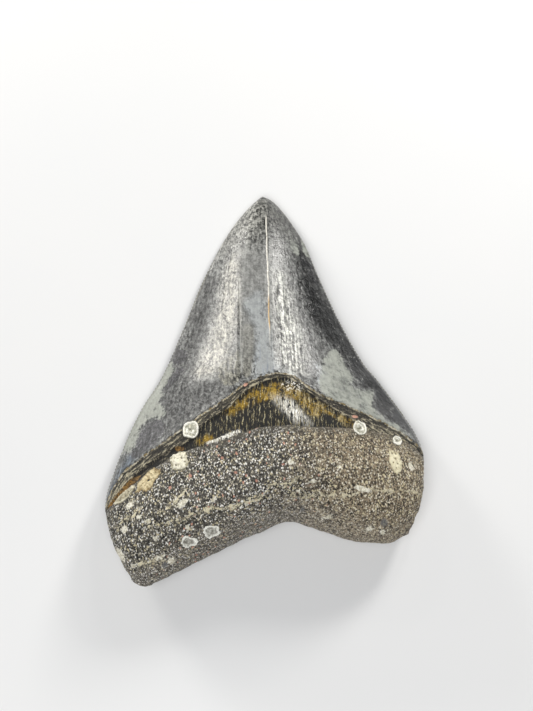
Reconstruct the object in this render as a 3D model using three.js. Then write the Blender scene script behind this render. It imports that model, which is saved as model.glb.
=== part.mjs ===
// Megalodon tooth with the barnacle bases and crusts that are cemented to it.
// Millimetres. The tooth lies on its flat labial face, its tip towards +Y and the bulging
// lingual face up. The origin is under the middle of its box, on the surface it rests on.

import * as THREE from 'three';

// Outline stations [x, y]. Both cutting edges run from a root lobe up to the tip, and the
// basal edge runs from the left lobe over the arch to the right lobe.
const LEFT_LOBE = [-36.5, -60.5];
const RIGHT_LOBE = [40, -47];
const TIP = [-1, 61.4];
const LEFT_EDGE = [
  LEFT_LOBE, [-40.6, -54], [-44, -45.5], [-45.4, -37.5], [-43.6, -28.4], [-39.9, -17.2],
  [-36, -8.2], [-30.6, 1.4], [-24.6, 17], [-19.3, 32], [-12.1, 47.5], [-5.5, 57], TIP,
];
const RIGHT_EDGE = [
  RIGHT_LOBE, [43.5, -39.5], [45.4, -30.5], [45.2, -21.5], [41.4, -12.6], [33.6, -0.6],
  [28.8, 6], [22, 19.7], [15.6, 35.5], [12.3, 44.5], [7, 53.7], [2.2, 59.6], TIP,
];
const BASAL_EDGE = [
  LEFT_LOBE, [-32.5, -61.4], [-25.3, -57.8], [-12.7, -51.4], [-2, -46.7], [6.6, -43.4],
  [16.6, -46.3], [26.5, -49.1], [34.2, -49.4], RIGHT_LOBE,
];

// The enamel ends in a chevron on the lingual face, and the bourlette below it ends where
// the rough root begins. Stations [x, y].
const ENAMEL_END = [
  [-45.4, -39.5], [-41, -30.5], [-36, -27], [-27, -21.8], [-20, -17], [-12, -11.7],
  [-7, -7.6], [-3, -5.4], [0.5, -3.7], [4, -3], [8, -3.8], [12, -6.9], [18, -10.2],
  [26, -12.9], [33, -15.4], [39.5, -18.4], [45.8, -23],
];
const BOURLETTE_END = [
  [-45.4, -41], [-38, -35.2], [-33, -31.6], [-26, -28], [-20, -26], [-13, -24.9],
  [-6, -22], [2, -20.4], [12, -20.3], [25, -19.6], [36, -19.8], [41, -21.4], [45.8, -24.4],
];
const BOURLETTE_DIP = 0.9;
const BOURLETTE_BLEND = 2.2;

// Heights [share of the way from basal edge to tip, z]: the lingual face on the midline,
// and the level of the outline, which is half way up the root's wall and low on the blade.
const MIDLINE_TOP = [
  [0, 23.2], [0.12, 25.2], [0.22, 25], [0.3, 22.6], [0.38, 19.4], [0.5, 16.8], [0.6, 14.8],
  [0.7, 12.5], [0.8, 9.9], [0.9, 6.8], [0.96, 4.6], [1, 2.6],
];
const RIM_LEVEL = [[0, 8.6], [0.12, 8.4], [0.18, 7], [0.26, 4.8], [0.4, 3.7], [0.7, 3.1], [1, 2.4]];

// The section across the tooth is a superellipse, full and upright at the root and
// thinning to an edge at the blade: [share of the way, power of the width, power of the rise].
const TOP_SECTION = [[0, 2.4, 0.62], [0.14, 2.4, 0.64], [0.24, 2.2, 0.84], [0.4, 2, 1.05], [1, 2, 1]];
const UNDER_SECTION = [[0, 4.6, 0.45], [0.14, 4.4, 0.5], [0.26, 3, 0.8], [0.4, 2.3, 1], [1, 2, 1]];
const BASAL_ROUND = 0.12;
const BASAL_ROUND_UNDER = 0.06;
const BASAL_POWER = 2.3;
const BASAL_RISE = 0.48;

// Hollows of the labial face [x, y, reach in x, reach in y, depth], the lift of its tip, and
// how deep it is worn [share of the way, depth]: it is flat where it touches the table.
const LABIAL_HOLLOWS = [[1, -9, 19, 13, 2], [4, -37, 13, 16, 2.2]];
const TIP_LIFT = 1.3;
const TIP_LIFT_FROM = 36;
const WORN_FLAT = [[0, 1.1], [0.2, 1], [0.4, 0.3], [1, 0.3]];

// Spacing of the facets.
const ROW_GAP = 2.6;
const SIDE_GAP = 2.4;
const BASAL_ROWS = 7;

// Barnacle bases and crusts: name, place [x, y], length, width, turn in degrees, thickness.
const CRUSTS = [
  ['barnacle_base_left', [-20.8, -20], 5.6, 4.8, 90, 0.6],
  ['barnacle_base_right', [26.5, -19.1], 4.6, 3.9, 90, 0.55],
  ['barnacle_base_far_right', [37.4, -21.2], 3.2, 2.8, 80, 0.45],
  ['coral_crust_left', [-23.6, -29.6], 5.6, 5, 90, 0.65],
  ['bryozoan_crust_right', [36.2, -28.2], 8.2, 3.4, 98, 0.6],
  ['bryozoan_crust_left', [-32.2, -33.9], 8.6, 3.6, 47, 0.55],
  ['oyster_spat_left', [-39.1, -37.3], 6, 2.5, 42, 0.5],
  ['oyster_spat_middle', [-14.7, -48.4], 4.8, 2.5, 12, 0.5],
  ['oyster_spat_lobe', [-20.9, -51.2], 3.8, 2.4, 10, 0.5],
];
const CRUST_GAP = 0.35;
const CRUST_SIDES = 14;
const CRUST_SHOULDER = 0.55;

// A height well over the tooth, from which its surface is sought.
const ABOVE = 100;

const ENAMEL_GREY = 0x8c8f91;
const SHELL_CREAM = 0xcfc8b4;

const splineThrough = (points) => new THREE.SplineCurve(points.map(([x, y]) => new THREE.Vector2(x, y)));
const leftEdge = splineThrough(LEFT_EDGE);
const rightEdge = splineThrough(RIGHT_EDGE);
const basalEdge = splineThrough(BASAL_EDGE);

// The value at a place on the smooth line through stations [place, value, ...].
function along(stations, place, column = 1) {
  const last = stations.length - 1;
  const inside = THREE.MathUtils.clamp(place, stations[0][0], stations[last][0]);
  const next = Math.max(stations.findIndex((station) => station[0] >= inside), 1);
  const slopeAt = (i) => {
    const [before, after] = [stations[Math.max(i - 1, 0)], stations[Math.min(i + 1, last)]];
    return (after[column] - before[column]) / (after[0] - before[0]);
  };
  const [from, to] = [stations[next - 1], stations[next]];
  const gap = to[0] - from[0];
  const share = (inside - from[0]) / gap;
  const eased = share * share * (3 - 2 * share);
  const bend = slopeAt(next - 1) * (1 - share) - slopeAt(next) * share;
  return THREE.MathUtils.lerp(from[column], to[column], eased) + gap * share * (1 - share) * bend;
}

// A plan point: across runs from -1 at the left edge to 1 at the right edge, and up from 0
// at the basal edge to 1 at the tip. Rows keep the arch's bend and lose it towards the tip.
function planPoint(across, up) {
  const share = (across + 1) / 2;
  const row = leftEdge.getPointAt(up).lerp(rightEdge.getPointAt(up), share);
  const chord = leftEdge.getPointAt(0).lerp(rightEdge.getPointAt(0), share);
  const arch = basalEdge.getPointAt(share).sub(chord);
  return row.addScaledVector(arch, 1 - up);
}

function section(table, across, up) {
  const width = along(table, up, 1);
  const rise = along(table, up, 2);
  return Math.max(1 - Math.abs(across) ** width, 0) ** rise;
}

function basalRound(up, reach) {
  const short = 1 - Math.min(up / reach, 1);
  return Math.max(1 - short ** BASAL_POWER, 0) ** BASAL_RISE;
}

// The bourlette lies a little lower than the enamel above it and the root below it.
function bourletteDip(x, y) {
  const below = THREE.MathUtils.smoothstep(along(ENAMEL_END, x) - y, 0, BOURLETTE_BLEND);
  const above = THREE.MathUtils.smoothstep(y - along(BOURLETTE_END, x), 0, BOURLETTE_BLEND);
  return BOURLETTE_DIP * below * above;
}

function lingualHeight(across, up, x, y) {
  const rim = along(RIM_LEVEL, up);
  const full = section(TOP_SECTION, across, up) * basalRound(up, BASAL_ROUND);
  return rim + (along(MIDLINE_TOP, up) - rim - bourletteDip(x, y)) * full;
}

function labialHeight(across, up, x, y) {
  const rim = along(RIM_LEVEL, up);
  const full = section(UNDER_SECTION, across, up) * basalRound(up, BASAL_ROUND_UNDER);
  const lift = TIP_LIFT * THREE.MathUtils.smoothstep(y, TIP_LIFT_FROM, TIP[1]);
  const hollows = LABIAL_HOLLOWS.reduce((sum, [cx, cy, reachX, reachY, depth]) => {
    const away = ((x - cx) / reachX) ** 2 + ((y - cy) / reachY) ** 2;
    return sum + depth * Math.exp(-away);
  }, 0);
  return Math.max(rim * (1 - full) + (lift + hollows - along(WORN_FLAT, up)) * full, 0);
}

// Rows are close together round the basal edge and evenly spaced from there to the tip.
function rowPlaces() {
  const turn = Math.PI / 2 / BASAL_ROWS;
  const basal = Array.from({ length: BASAL_ROWS }, (_, i) => BASAL_ROUND * (1 - Math.cos(i * turn)));
  const count = Math.round((leftEdge.getLength() * (1 - BASAL_ROUND)) / ROW_GAP);
  const rest = Array.from({ length: count + 1 }, (_, i) => BASAL_ROUND + ((1 - BASAL_ROUND) * i) / count);
  return [...basal, ...rest];
}

// Joins two rows of vertices that run side by side and may differ in number.
function stitch(lower, upper, facesUp) {
  const triangles = [];
  let [i, j] = [0, 0];
  while (i < lower.length - 1 || j < upper.length - 1) {
    const nextOnLower = i < lower.length - 1 ? (i + 1) / (lower.length - 1) : Infinity;
    const nextOnUpper = j < upper.length - 1 ? (j + 1) / (upper.length - 1) : Infinity;
    const [from, left] = [lower[i], upper[j]];
    if (nextOnLower <= nextOnUpper) i += 1;
    else j += 1;
    const right = nextOnLower <= nextOnUpper ? lower[i] : upper[j];
    triangles.push(...(facesUp ? [from, right, left] : [from, left, right]));
  }
  return triangles;
}

// One row round the tooth: its lingual and labial vertices share the two on the outline.
// The basal edge and the tip are closed, so there both faces are the same vertices.
function addRow(places, up) {
  const addVertex = (x, y, z) => places.push(x, y, z) / 3 - 1;
  const rowWidth = planPoint(-1, up).distanceTo(planPoint(1, up));
  const steps = Math.round((rowWidth * Math.PI) / 2 / SIDE_GAP);
  const lingual = [];
  const labial = [];
  for (let step = 0; step <= steps; step += 1) {
    const across = steps ? Math.sin((step / steps - 0.5) * Math.PI) : 0;
    const { x, y } = planPoint(across, up);
    const onOutline = up === 0 || up === 1 || step === 0 || step === steps;
    const z = onOutline ? along(RIM_LEVEL, up) : lingualHeight(across, up, x, y);
    lingual.push(addVertex(x, y, z));
    labial.push(onOutline ? lingual.at(-1) : addVertex(x, y, labialHeight(across, up, x, y)));
  }
  return { lingual, labial };
}

function toothGeometry() {
  const places = [];
  const rows = rowPlaces().map((up) => addRow(places, up));
  const triangles = rows.slice(1).flatMap((row, i) => [
    ...stitch(rows[i].lingual, row.lingual, true),
    ...stitch(rows[i].labial, row.labial, false),
  ]);
  return solidGeometry(places, triangles);
}

function solidGeometry(places, triangles) {
  const geometry = new THREE.BufferGeometry();
  geometry.setAttribute('position', new THREE.Float32BufferAttribute(places, 3));
  geometry.setIndex(triangles);
  geometry.computeVertexNormals();
  return geometry;
}

function makeTooth() {
  const fossil = new THREE.MeshStandardMaterial({ color: ENAMEL_GREY, roughness: 0.35, metalness: 0 });
  const tooth = new THREE.Mesh(toothGeometry(), fossil);
  tooth.name = 'tooth';
  tooth.updateMatrixWorld();
  return tooth;
}

// The height of the tooth's lingual face straight above a plan point.
function lingualSurface(tooth, x, y) {
  const fromAbove = new THREE.Raycaster(new THREE.Vector3(x, y, ABOVE), new THREE.Vector3(0, 0, -1));
  return fromAbove.intersectObject(tooth)[0].point.z;
}

// A thin low dome that follows the tooth's surface at a small gap: a centre vertex and
// rings of vertices, on its cemented side and on its free side.
function makeCrust(tooth, [name, [centreX, centreY], length, width, turn, thickness]) {
  const ground = lingualSurface(tooth, centreX, centreY);
  const shell = new THREE.MeshStandardMaterial({ color: SHELL_CREAM, roughness: 0.8, metalness: 0 });
  const heading = THREE.MathUtils.degToRad(turn);
  const places = [];
  const triangles = [];
  const addVertex = (x, y, rise) => {
    const surface = lingualSurface(tooth, centreX + x, centreY + y) - ground;
    return places.push(x, y, surface + CRUST_GAP + rise) / 3 - 1;
  };
  const addRing = (share, rise) => Array.from({ length: CRUST_SIDES + 1 }, (_, side) => {
    if (side === CRUST_SIDES) return places.length / 3 - CRUST_SIDES;
    const round = (side / CRUST_SIDES) * 2 * Math.PI;
    const [a, b] = [(share * Math.cos(round) * length) / 2, (share * Math.sin(round) * width) / 2];
    const x = a * Math.cos(heading) - b * Math.sin(heading);
    const y = a * Math.sin(heading) + b * Math.cos(heading);
    return addVertex(x, y, rise);
  });
  const free = [[addVertex(0, 0, thickness)], addRing(CRUST_SHOULDER, thickness)];
  free.push(addRing(1, thickness / 2));
  const cemented = [[addVertex(0, 0, 0)], addRing(CRUST_SHOULDER, 0), addRing(1, 0)];
  for (let ring = 1; ring < free.length; ring += 1) {
    triangles.push(...stitch(free[ring], free[ring - 1], true));
    triangles.push(...stitch(cemented[ring], cemented[ring - 1], false));
  }
  triangles.push(...stitch(cemented.at(-1), free.at(-1), true));
  const crust = new THREE.Mesh(solidGeometry(places, triangles), shell);
  crust.name = name;
  crust.position.set(centreX, centreY, ground);
  return crust;
}

const tooth = makeTooth();
const part = new THREE.Group();
part.add(tooth);
part.add(...CRUSTS.map((crust) => makeCrust(tooth, crust)));

export default part;
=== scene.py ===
import math

import bpy
import numpy as np
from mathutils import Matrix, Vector, noise
from mathutils.bvhtree import BVHTree


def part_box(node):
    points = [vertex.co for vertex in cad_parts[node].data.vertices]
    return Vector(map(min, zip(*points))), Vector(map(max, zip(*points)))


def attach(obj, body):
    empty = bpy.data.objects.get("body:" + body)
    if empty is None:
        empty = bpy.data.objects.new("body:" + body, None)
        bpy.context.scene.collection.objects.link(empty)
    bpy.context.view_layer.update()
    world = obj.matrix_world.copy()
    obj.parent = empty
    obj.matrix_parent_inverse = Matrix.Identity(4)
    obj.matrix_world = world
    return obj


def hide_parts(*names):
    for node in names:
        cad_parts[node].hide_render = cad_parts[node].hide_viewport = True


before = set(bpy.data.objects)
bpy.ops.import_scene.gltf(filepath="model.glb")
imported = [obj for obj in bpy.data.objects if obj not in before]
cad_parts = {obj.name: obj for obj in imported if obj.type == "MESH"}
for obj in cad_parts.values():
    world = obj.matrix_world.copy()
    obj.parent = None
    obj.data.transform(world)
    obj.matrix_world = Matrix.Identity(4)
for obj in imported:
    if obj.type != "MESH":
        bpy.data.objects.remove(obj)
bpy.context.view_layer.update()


# ---------------------------------------------------------------------------------------
# The body of the tooth. The real piece is one lump of fossil apatite that grew in the jaw:
# a blade of enamel, the bourlette under it and a two-lobed root. It is made here as rows
# of vertices that run round it, from the basal edge up to the tip, in millimetres.
# ---------------------------------------------------------------------------------------

MM = 0.001
LEFT_LOBE = (-36.5, -60.5)
RIGHT_LOBE = (40, -47)
TIP = (-1, 61.4)
LEFT_EDGE = (
    LEFT_LOBE, (-40.6, -54), (-44, -45.5), (-45.4, -37.5), (-43.6, -28.4), (-39.9, -17.2),
    (-36, -8.2), (-30.6, 1.4), (-24.6, 17), (-19.3, 32), (-12.1, 47.5), (-5.5, 57), TIP,
)
RIGHT_EDGE = (
    RIGHT_LOBE, (43.5, -39.5), (45.4, -30.5), (45.2, -21.5), (41.4, -12.6), (33.6, -0.6),
    (28.8, 6), (22, 19.7), (15.6, 35.5), (12.3, 44.5), (7, 53.7), (2.2, 59.6), TIP,
)
BASAL_EDGE = (
    LEFT_LOBE, (-32.5, -61.4), (-25.3, -57.8), (-12.7, -51.4), (-2, -46.7), (6.6, -43.4),
    (16.6, -46.3), (26.5, -49.1), (34.2, -49.4), RIGHT_LOBE,
)
# (share of the way from basal edge to tip, height): the lingual midline and the outline.
MIDLINE_TOP = (
    (0, 23.2), (0.12, 25.2), (0.22, 25), (0.3, 22.6), (0.38, 19.4), (0.5, 16.8), (0.6, 14.8),
    (0.7, 12.5), (0.8, 9.9), (0.9, 6.8), (0.96, 4.6), (1, 2.6),
)
RIM_LEVEL = ((0, 8.6), (0.12, 8.4), (0.18, 7), (0.26, 4.8), (0.4, 3.7), (0.7, 3.1), (1, 2.4))
# (share of the way, power of the width, power of the rise) of the section's superellipse.
TOP_SECTION = ((0, 2.4, 0.62), (0.14, 2.4, 0.64), (0.24, 2.2, 0.84), (0.4, 2, 1.05), (1, 2, 1))
UNDER_SECTION = ((0, 4.6, 0.45), (0.14, 4.4, 0.5), (0.26, 3, 0.8), (0.4, 2.3, 1), (1, 2, 1))
BASAL_ROUND = 0.12
BASAL_ROUND_UNDER = 0.06
BASAL_POWER = 2.3
BASAL_RISE = 0.48
LABIAL_HOLLOWS = ((1, -9, 19, 13, 2), (4, -37, 13, 16, 2.2))
TIP_LIFT = 1.3
TIP_LIFT_FROM = 36
WORN_FLAT = ((0, 1.1), (0.2, 1), (0.4, 0.3), (1, 0.3))

# Lines across the lingual face: where the enamel ends, the step inside the bourlette, and
# where the rough root begins. The labial face has only the enamel's end.
ENAMEL_END = (
    (-45.4, -39.5), (-41, -30.5), (-36, -27), (-27, -21.8), (-20, -17), (-12, -11.7),
    (-7, -7.6), (-3, -5.4), (0.5, -3.7), (4, -3), (8, -3.8), (12, -6.9), (18, -10.2),
    (26, -12.9), (33, -15.4), (39.5, -18.4), (45.8, -23),
)
BOURLETTE_STEP = (
    (-45.4, -41), (-38, -32.5), (-33, -28.9), (-28, -26), (-22, -24), (-19, -20.6),
    (-15, -17), (-10, -13.7), (-7, -10.3), (-3, -7.3), (0, -5.8), (4, -4.7), (8, -5.6),
    (11, -8), (13, -9.2), (17, -11.8), (20, -14.2), (24, -16.4), (26.5, -19), (31, -20.2),
    (38, -20.2), (45.8, -24.2),
)
BOURLETTE_END = (
    (-45.4, -41), (-38, -35.2), (-33, -31.6), (-26, -28), (-20, -26), (-13, -24.9),
    (-6, -22), (2, -20.4), (12, -20.3), (25, -19.6), (36, -19.8), (41, -21.4), (45.8, -24.4),
)
LABIAL_ENAMEL_END = (
    (-45.4, -39.5), (-30, -30.5), (-10, -22.5), (4, -19), (22, -20), (38, -21.5), (45.8, -23),
)

ROW_GAP = 0.42
LINGUAL_GAP = 0.42
LABIAL_GAP = 0.8
EDGE_CROWDING = 0.45
BASAL_ROWS = 34
EDGE_SAMPLES = 200
SERRATION_PITCH = 1.05
SERRATION_DEPTH = 0.36
SERRATION_STEPS = 3
SERRATION_DRIFT = 0.25
EDGE_WEAR = 0.3


def along(stations, place, column=1):
    """The value at a place on the smooth line through stations (place, value, ...)."""
    places, values = np.array(stations, float).T[[0, column]]
    last = len(places) - 1
    before = np.maximum(np.arange(last + 1) - 1, 0)
    after = np.minimum(np.arange(last + 1) + 1, last)
    slopes = (values[after] - values[before]) / (places[after] - places[before])
    inside = np.clip(place, places[0], places[-1])
    to = np.clip(np.searchsorted(places, inside), 1, last)
    gap = places[to] - places[to - 1]
    share = (inside - places[to - 1]) / gap
    eased = share * share * (3 - 2 * share)
    bend = slopes[to - 1] * (1 - share) - slopes[to] * share
    return values[to - 1] * (1 - eased) + values[to] * eased + gap * share * (1 - share) * bend


def edge_line(stations, shares):
    """Plan points at shares of the length of the smooth line through the stations."""
    points = np.array(stations, float)
    held = np.vstack([points[:1], points, points[-1:]])
    start, stop = held[1:-2], held[2:-1]
    leave, arrive = (stop - held[:-3]) / 2, (held[3:] - start) / 2
    pieces = []
    for t in np.linspace(0, 1, 60, endpoint=False):
        cubic = (2 * start - 2 * stop + leave + arrive) * t**3
        square = (3 * stop - 3 * start - 2 * leave - arrive) * t**2
        pieces.append(cubic + square + leave * t + start)
    line = np.vstack([np.array(pieces).transpose(1, 0, 2).reshape(-1, 2), points[-1:]])
    gone = np.concatenate([[0], np.cumsum(np.linalg.norm(np.diff(line, axis=0), axis=1))])
    return np.stack([np.interp(np.asarray(shares) * gone[-1], gone, axis) for axis in line.T], -1)


def edge_length(stations):
    edge = edge_line(stations, np.linspace(0, 1, EDGE_SAMPLES))
    return np.linalg.norm(np.diff(edge, axis=0), axis=1).sum()


def plan_points(across, up):
    """Plan points from across, -1 at the left edge to 1 at the right, and up, 0 to 1."""
    share = ((across + 1) / 2)[:, None]
    row = edge_line(LEFT_EDGE, up) * (1 - share) + edge_line(RIGHT_EDGE, up) * share
    chord = np.array(LEFT_LOBE) * (1 - share) + np.array(RIGHT_LOBE) * share
    arch = edge_line(BASAL_EDGE, share[:, 0]) - chord
    return row + arch * (1 - up)[:, None]


def ease(value, low, high):
    """0 below low, 1 above high and smooth between them."""
    share = np.clip((value - low) / (high - low), 0, 1)
    return share * share * (3 - 2 * share)


def full_share(table, across, up, reach):
    """How full the section is at a vertex, with the basal edge rounded over its reach."""
    section = np.maximum(1 - np.abs(across) ** along(table, up, 1), 0) ** along(table, up, 2)
    short = 1 - np.minimum(up / reach, 1)
    return section * np.maximum(1 - short**BASAL_POWER, 0) ** BASAL_RISE


def gap_above(stations, x, y):
    """How far a plan point is above a line across the tooth, square to the line."""
    slope = along(stations, x + 0.5) - along(stations, x - 0.5)
    return (y - along(stations, x)) / np.sqrt(1 + slope * slope)


def mound(x, y, centre_x, centre_y, reach_x, reach_y):
    """A smooth round bump in plan, 1 at its centre."""
    return np.exp(-(((x - centre_x) / reach_x) ** 2) - ((y - centre_y) / reach_y) ** 2)


def face_heights(across, up, side, x, y):
    """The height of each vertex: side is 1 on the lingual face, -1 on the labial, 0 on the outline."""
    rim = along(RIM_LEVEL, up)
    full = full_share(TOP_SECTION, across, up, BASAL_ROUND)
    lingual = rim + (along(MIDLINE_TOP, up) - rim) * full
    full = full_share(UNDER_SECTION, across, up, BASAL_ROUND_UNDER)
    lift = TIP_LIFT * ease(y, TIP_LIFT_FROM, TIP[1])
    for centre_x, centre_y, reach_x, reach_y, depth in LABIAL_HOLLOWS:
        lift = lift + depth * mound(x, y, centre_x, centre_y, reach_x, reach_y)
    labial = np.maximum(rim * (1 - full) + (lift - along(WORN_FLAT, up)) * full, 0)
    return np.where(side > 0, lingual, np.where(side < 0, labial, rim))


def stitch(lower, upper, left_rim, right_rim):
    """Triangles, facing up, between two rows that may differ in number. The rims' extra
    vertices, from lower row to upper row, are fanned into the first and last triangle."""
    n, m = len(lower) - 1, len(upper) - 1
    i = j = 0
    strip = []
    while i < n or j < m:
        if j == m or (i < n and (i + 1) * m <= (j + 1) * n):
            strip.append((lower[i], lower[i + 1], upper[j]))
            i += 1
        else:
            strip.append((lower[i], upper[j + 1], upper[j]))
            j += 1
    if left_rim:
        apex = strip[0][1]
        chain = [lower[0], *left_rim, upper[0]]
        strip[:1] = [(a, apex, b) for a, b in zip(chain, chain[1:])]
    if right_rim:
        apex = next(v for v in strip[-1] if v not in (lower[-1], upper[-1]))
        chain = [lower[-1], *right_rim, upper[-1]]
        strip[-1:] = [(apex, a, b) for a, b in zip(chain, chain[1:])]
    return strip


def lay_rows():
    """across, up and side of every vertex, and the triangles between them."""
    basal = BASAL_ROUND * (1 - np.cos(np.linspace(0, math.pi / 2, BASAL_ROWS, endpoint=False)))
    upper_rows = round(edge_length(LEFT_EDGE) * (1 - BASAL_ROUND) / ROW_GAP)
    ups = np.concatenate([basal, np.linspace(BASAL_ROUND, 1, upper_rows)])
    widths = np.linalg.norm(edge_line(LEFT_EDGE, ups) - edge_line(RIGHT_EDGE, ups), axis=1)
    vertices, rows, rims = [], [], []

    def arc(up, width, gap, side):
        steps = max(round(width * (1 + EDGE_CROWDING * (math.pi / 2 - 1)) / gap), 2)
        even = np.linspace(-1, 1, steps + 1)[1:-1]
        first = len(vertices)
        for s in even:
            across = s * (1 - EDGE_CROWDING) + EDGE_CROWDING * math.sin(s * math.pi / 2)
            vertices.append((across, up, side))
        return list(range(first, len(vertices)))

    for place, (up, width) in enumerate(zip(ups, widths)):
        first = len(vertices)
        if place == len(ups) - 1:
            vertices.append((0, up, 0))
            rows.append(([first], [first]))
            continue
        vertices.extend([(-1, up, 0), (1, up, 0)])
        closed = place == 0
        lingual = [first, *arc(up, width, LINGUAL_GAP, 0 if closed else 1), first + 1]
        labial = lingual if closed else [first, *arc(up, width, LABIAL_GAP, -1), first + 1]
        rows.append((lingual, labial))
    for lower, upper in zip(ups[:-1], ups[1:]):
        between = np.linspace(lower, upper, SERRATION_STEPS + 1)[1:-1]
        first = len(vertices)
        vertices.extend([(side, up, 0) for side in (-1, 1) for up in between])
        chain = list(range(first, len(vertices)))
        rims.append((chain[: len(between)], chain[len(between):]))
    triangles = []
    for (lower, under), (upper, over), (left, right) in zip(rows[:-1], rows[1:], rims):
        triangles.extend(stitch(lower, upper, left, right))
        triangles.extend((a, c, b) for a, b, c in stitch(under, over, left, right))
    across, up, side = np.array(vertices, float).T
    return across, up, side, np.array(triangles)


def vertex_normals(places, triangles):
    a, b, c = (places[triangles[:, i]] for i in range(3))
    square = np.cross(b - a, c - a)
    normals = np.zeros_like(places)
    for corner in range(3):
        for axis in range(3):
            weight = square[:, axis]
            normals[:, axis] += np.bincount(triangles[:, corner], weight, len(places))
    return normals / np.maximum(np.linalg.norm(normals, axis=1), 1e-12)[:, None]


def wobble(places, size, seed=0.0):
    """Smooth noise from about -1 to 1 with lumps of a given size, at places in millimetres."""
    shift = Vector((seed, seed * 1.7, seed * 2.3))
    return np.array([noise.noise(Vector(p) / size + shift) for p in places])


def pits(places, spacing, radius, share, seed):
    """1 in the middle of scattered round pits and 0 outside them."""
    shift = Vector((seed, -seed, seed * 0.7))
    found = np.zeros(len(places))
    for i, p in enumerate(places):
        near, centres = noise.voronoi(Vector(p) / spacing + shift)
        if noise.cell(centres[0] * 7.31) < share:
            found[i] = max(1 - near[0] * spacing / radius, 0)
    return ease(found, 0, 1)


across, up, side, triangles = lay_rows()
places = np.zeros((len(across), 3))
places[:, :2] = plan_points(across, up)
places[:, 2] = face_heights(across, up, side, places[:, 0], places[:, 1])
own_low, own_high = places.min(0), places.max(0)
low, high = (np.array(corner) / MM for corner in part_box("tooth"))
places = low + (places - own_low) / (own_high - own_low) * (high - low)
x, y = places[:, 0], places[:, 1]
lingual = side >= 0

# The finishes meet along wavering lines, which the relief and the colours share.
waver = 0.3 * wobble(places, 3.1, 5) + 0.16 * wobble(places, 0.9, 9)
enamel_line = np.where(lingual, gap_above(ENAMEL_END, x, y), gap_above(LABIAL_ENAMEL_END, x, y))
enamel_gap = enamel_line + waver
step_gap = np.where(lingual, gap_above(BOURLETTE_STEP, x, y), enamel_line) + 0.5 * waver
bourlette_gap = np.where(lingual, gap_above(BOURLETTE_END, x, y), enamel_line) - 0.8 * waver
on_enamel = ease(enamel_gap, -0.15, 0.3)
on_root = (1 - ease(bourlette_gap, -0.4, 0.3)) * (1 - on_enamel)
on_bourlette = np.clip(1 - on_root - on_enamel, 0, 1)
in_dip = on_bourlette * (1 - ease(step_gap, -0.5, 0.1))

# Growth lines: wavy seams of cream lime across the root, as (x, y) from left to right.
GROWTH_LINES = (
    ((-40.6, -46.6), (-38.6, -44.6), (-36.2, -44), (-35, -42.4)),
    ((-29, -44), (-26, -42.2), (-24, -40.6), (-21.6, -38.2)),
    ((-31.6, -47.2), (-27, -46.6), (-24, -46), (-21.5, -45.6), (-18.4, -44.3)),
    ((-17, -43.6), (-13, -43), (-10, -42.5), (-7, -42), (-5, -40.9), (-2, -40.1), (0, -38.6),
     (2, -36.7), (4, -36.2), (6, -36.4), (8, -35.4), (9.8, -33.6)),
    ((5, -37), (8, -38.7), (12, -39.1), (16, -39.3), (20, -39.2), (23, -39), (25.5, -38.2)),
    ((24.5, -36.6), (29, -37.3), (33, -37.2), (38, -36.6), (44, -36.4)),
    ((-34.5, -56.6), (-32, -56.2), (-29.4, -55.6), (-26.6, -54.6)),
)


def off_lines(lines, x, y):
    """The distance of each plan point from the nearest of some wavy lines."""
    nearest = np.full(len(x), 9.0)
    for line in lines:
        past = np.maximum(line[0][0] - x, 0) + np.maximum(x - line[-1][0], 0)
        nearest = np.minimum(nearest, np.hypot(gap_above(line, x, y), past))
    return nearest


def closed_line(outline):
    """A smooth closed line of plan points through a given outline."""
    points = np.array(outline, float)
    before, after = np.roll(points, 1, axis=0), np.roll(points, -1, axis=0)
    leave, arrive = (after - before) / 2, (np.roll(points, -2, axis=0) - points) / 2
    drawn = []
    for t in np.linspace(0, 1, 8, endpoint=False):
        cubic = (2 * points - 2 * after + leave + arrive) * t**3
        square = (3 * after - 3 * points - 2 * leave - arrive) * t**2
        drawn.append(cubic + square + leave * t + points)
    return np.array(drawn).transpose(1, 0, 2).reshape(-1, 2)


def depth_inside(outlines, x, y):
    """How deep each plan point lies inside any of the outlines, negative outside them."""
    deepest = np.full(len(x), -9.0)
    for outline in outlines:
        line = closed_line(outline)
        nearest, inside = np.full(len(x), 81.0), np.zeros(len(x), bool)
        for (ax, ay), (bx, by) in zip(line, np.roll(line, -1, axis=0)):
            length = (bx - ax) ** 2 + (by - ay) ** 2
            share = np.clip(((x - ax) * (bx - ax) + (y - ay) * (by - ay)) / max(length, 1e-9), 0, 1)
            off = (x - ax - share * (bx - ax)) ** 2 + (y - ay - share * (by - ay)) ** 2
            nearest = np.minimum(nearest, off)
            crosses = (ay > y) != (by > y)
            inside ^= crosses & (x < (bx - ax) * (y - ay) / (by - ay + 1e-12) + ax)
        deepest = np.maximum(deepest, np.where(inside, 1, -1) * np.sqrt(nearest))
    return deepest


# Each side of the blade is a shallow hollow that starts at a crease beside the middle ridge:
# (crease in x, way it runs, reach, depth, lowest y, highest y).
BLADE_HOLLOWS = ((-8, -1, 19, 0.74, -6, 38), (2.4, 1, 16, 0.42, -8, 32))
# Fine cracks that run up the blade: (x at the bottom, x at the top, lowest y, highest y).
BLADE_CRACKS = ((4.6, 3.7, -1, 27), (6.9, 6.2, 8, 25), (-6.9, -7.9, -1, 31))
# The rolled lip of the bourlette over the root, left of the middle.
ROLLED_LIP = ((-15.6, -24.9), (-13, -24.2), (-10, -22.8), (-7.5, -21.9))
LIP_HEIGHT = 0.75
# Folds and dents of the bourlette: (x, y, reach in x, reach in y, height).
FOLDS = (
    (13.5, -13, 4.5, 5.5, -0.75), (7.5, -15.5, 4, 4.5, 0.4), (9, -8.5, 2, 2, 0.35),
    (-2, -15, 6, 4, -0.35),
)


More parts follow.
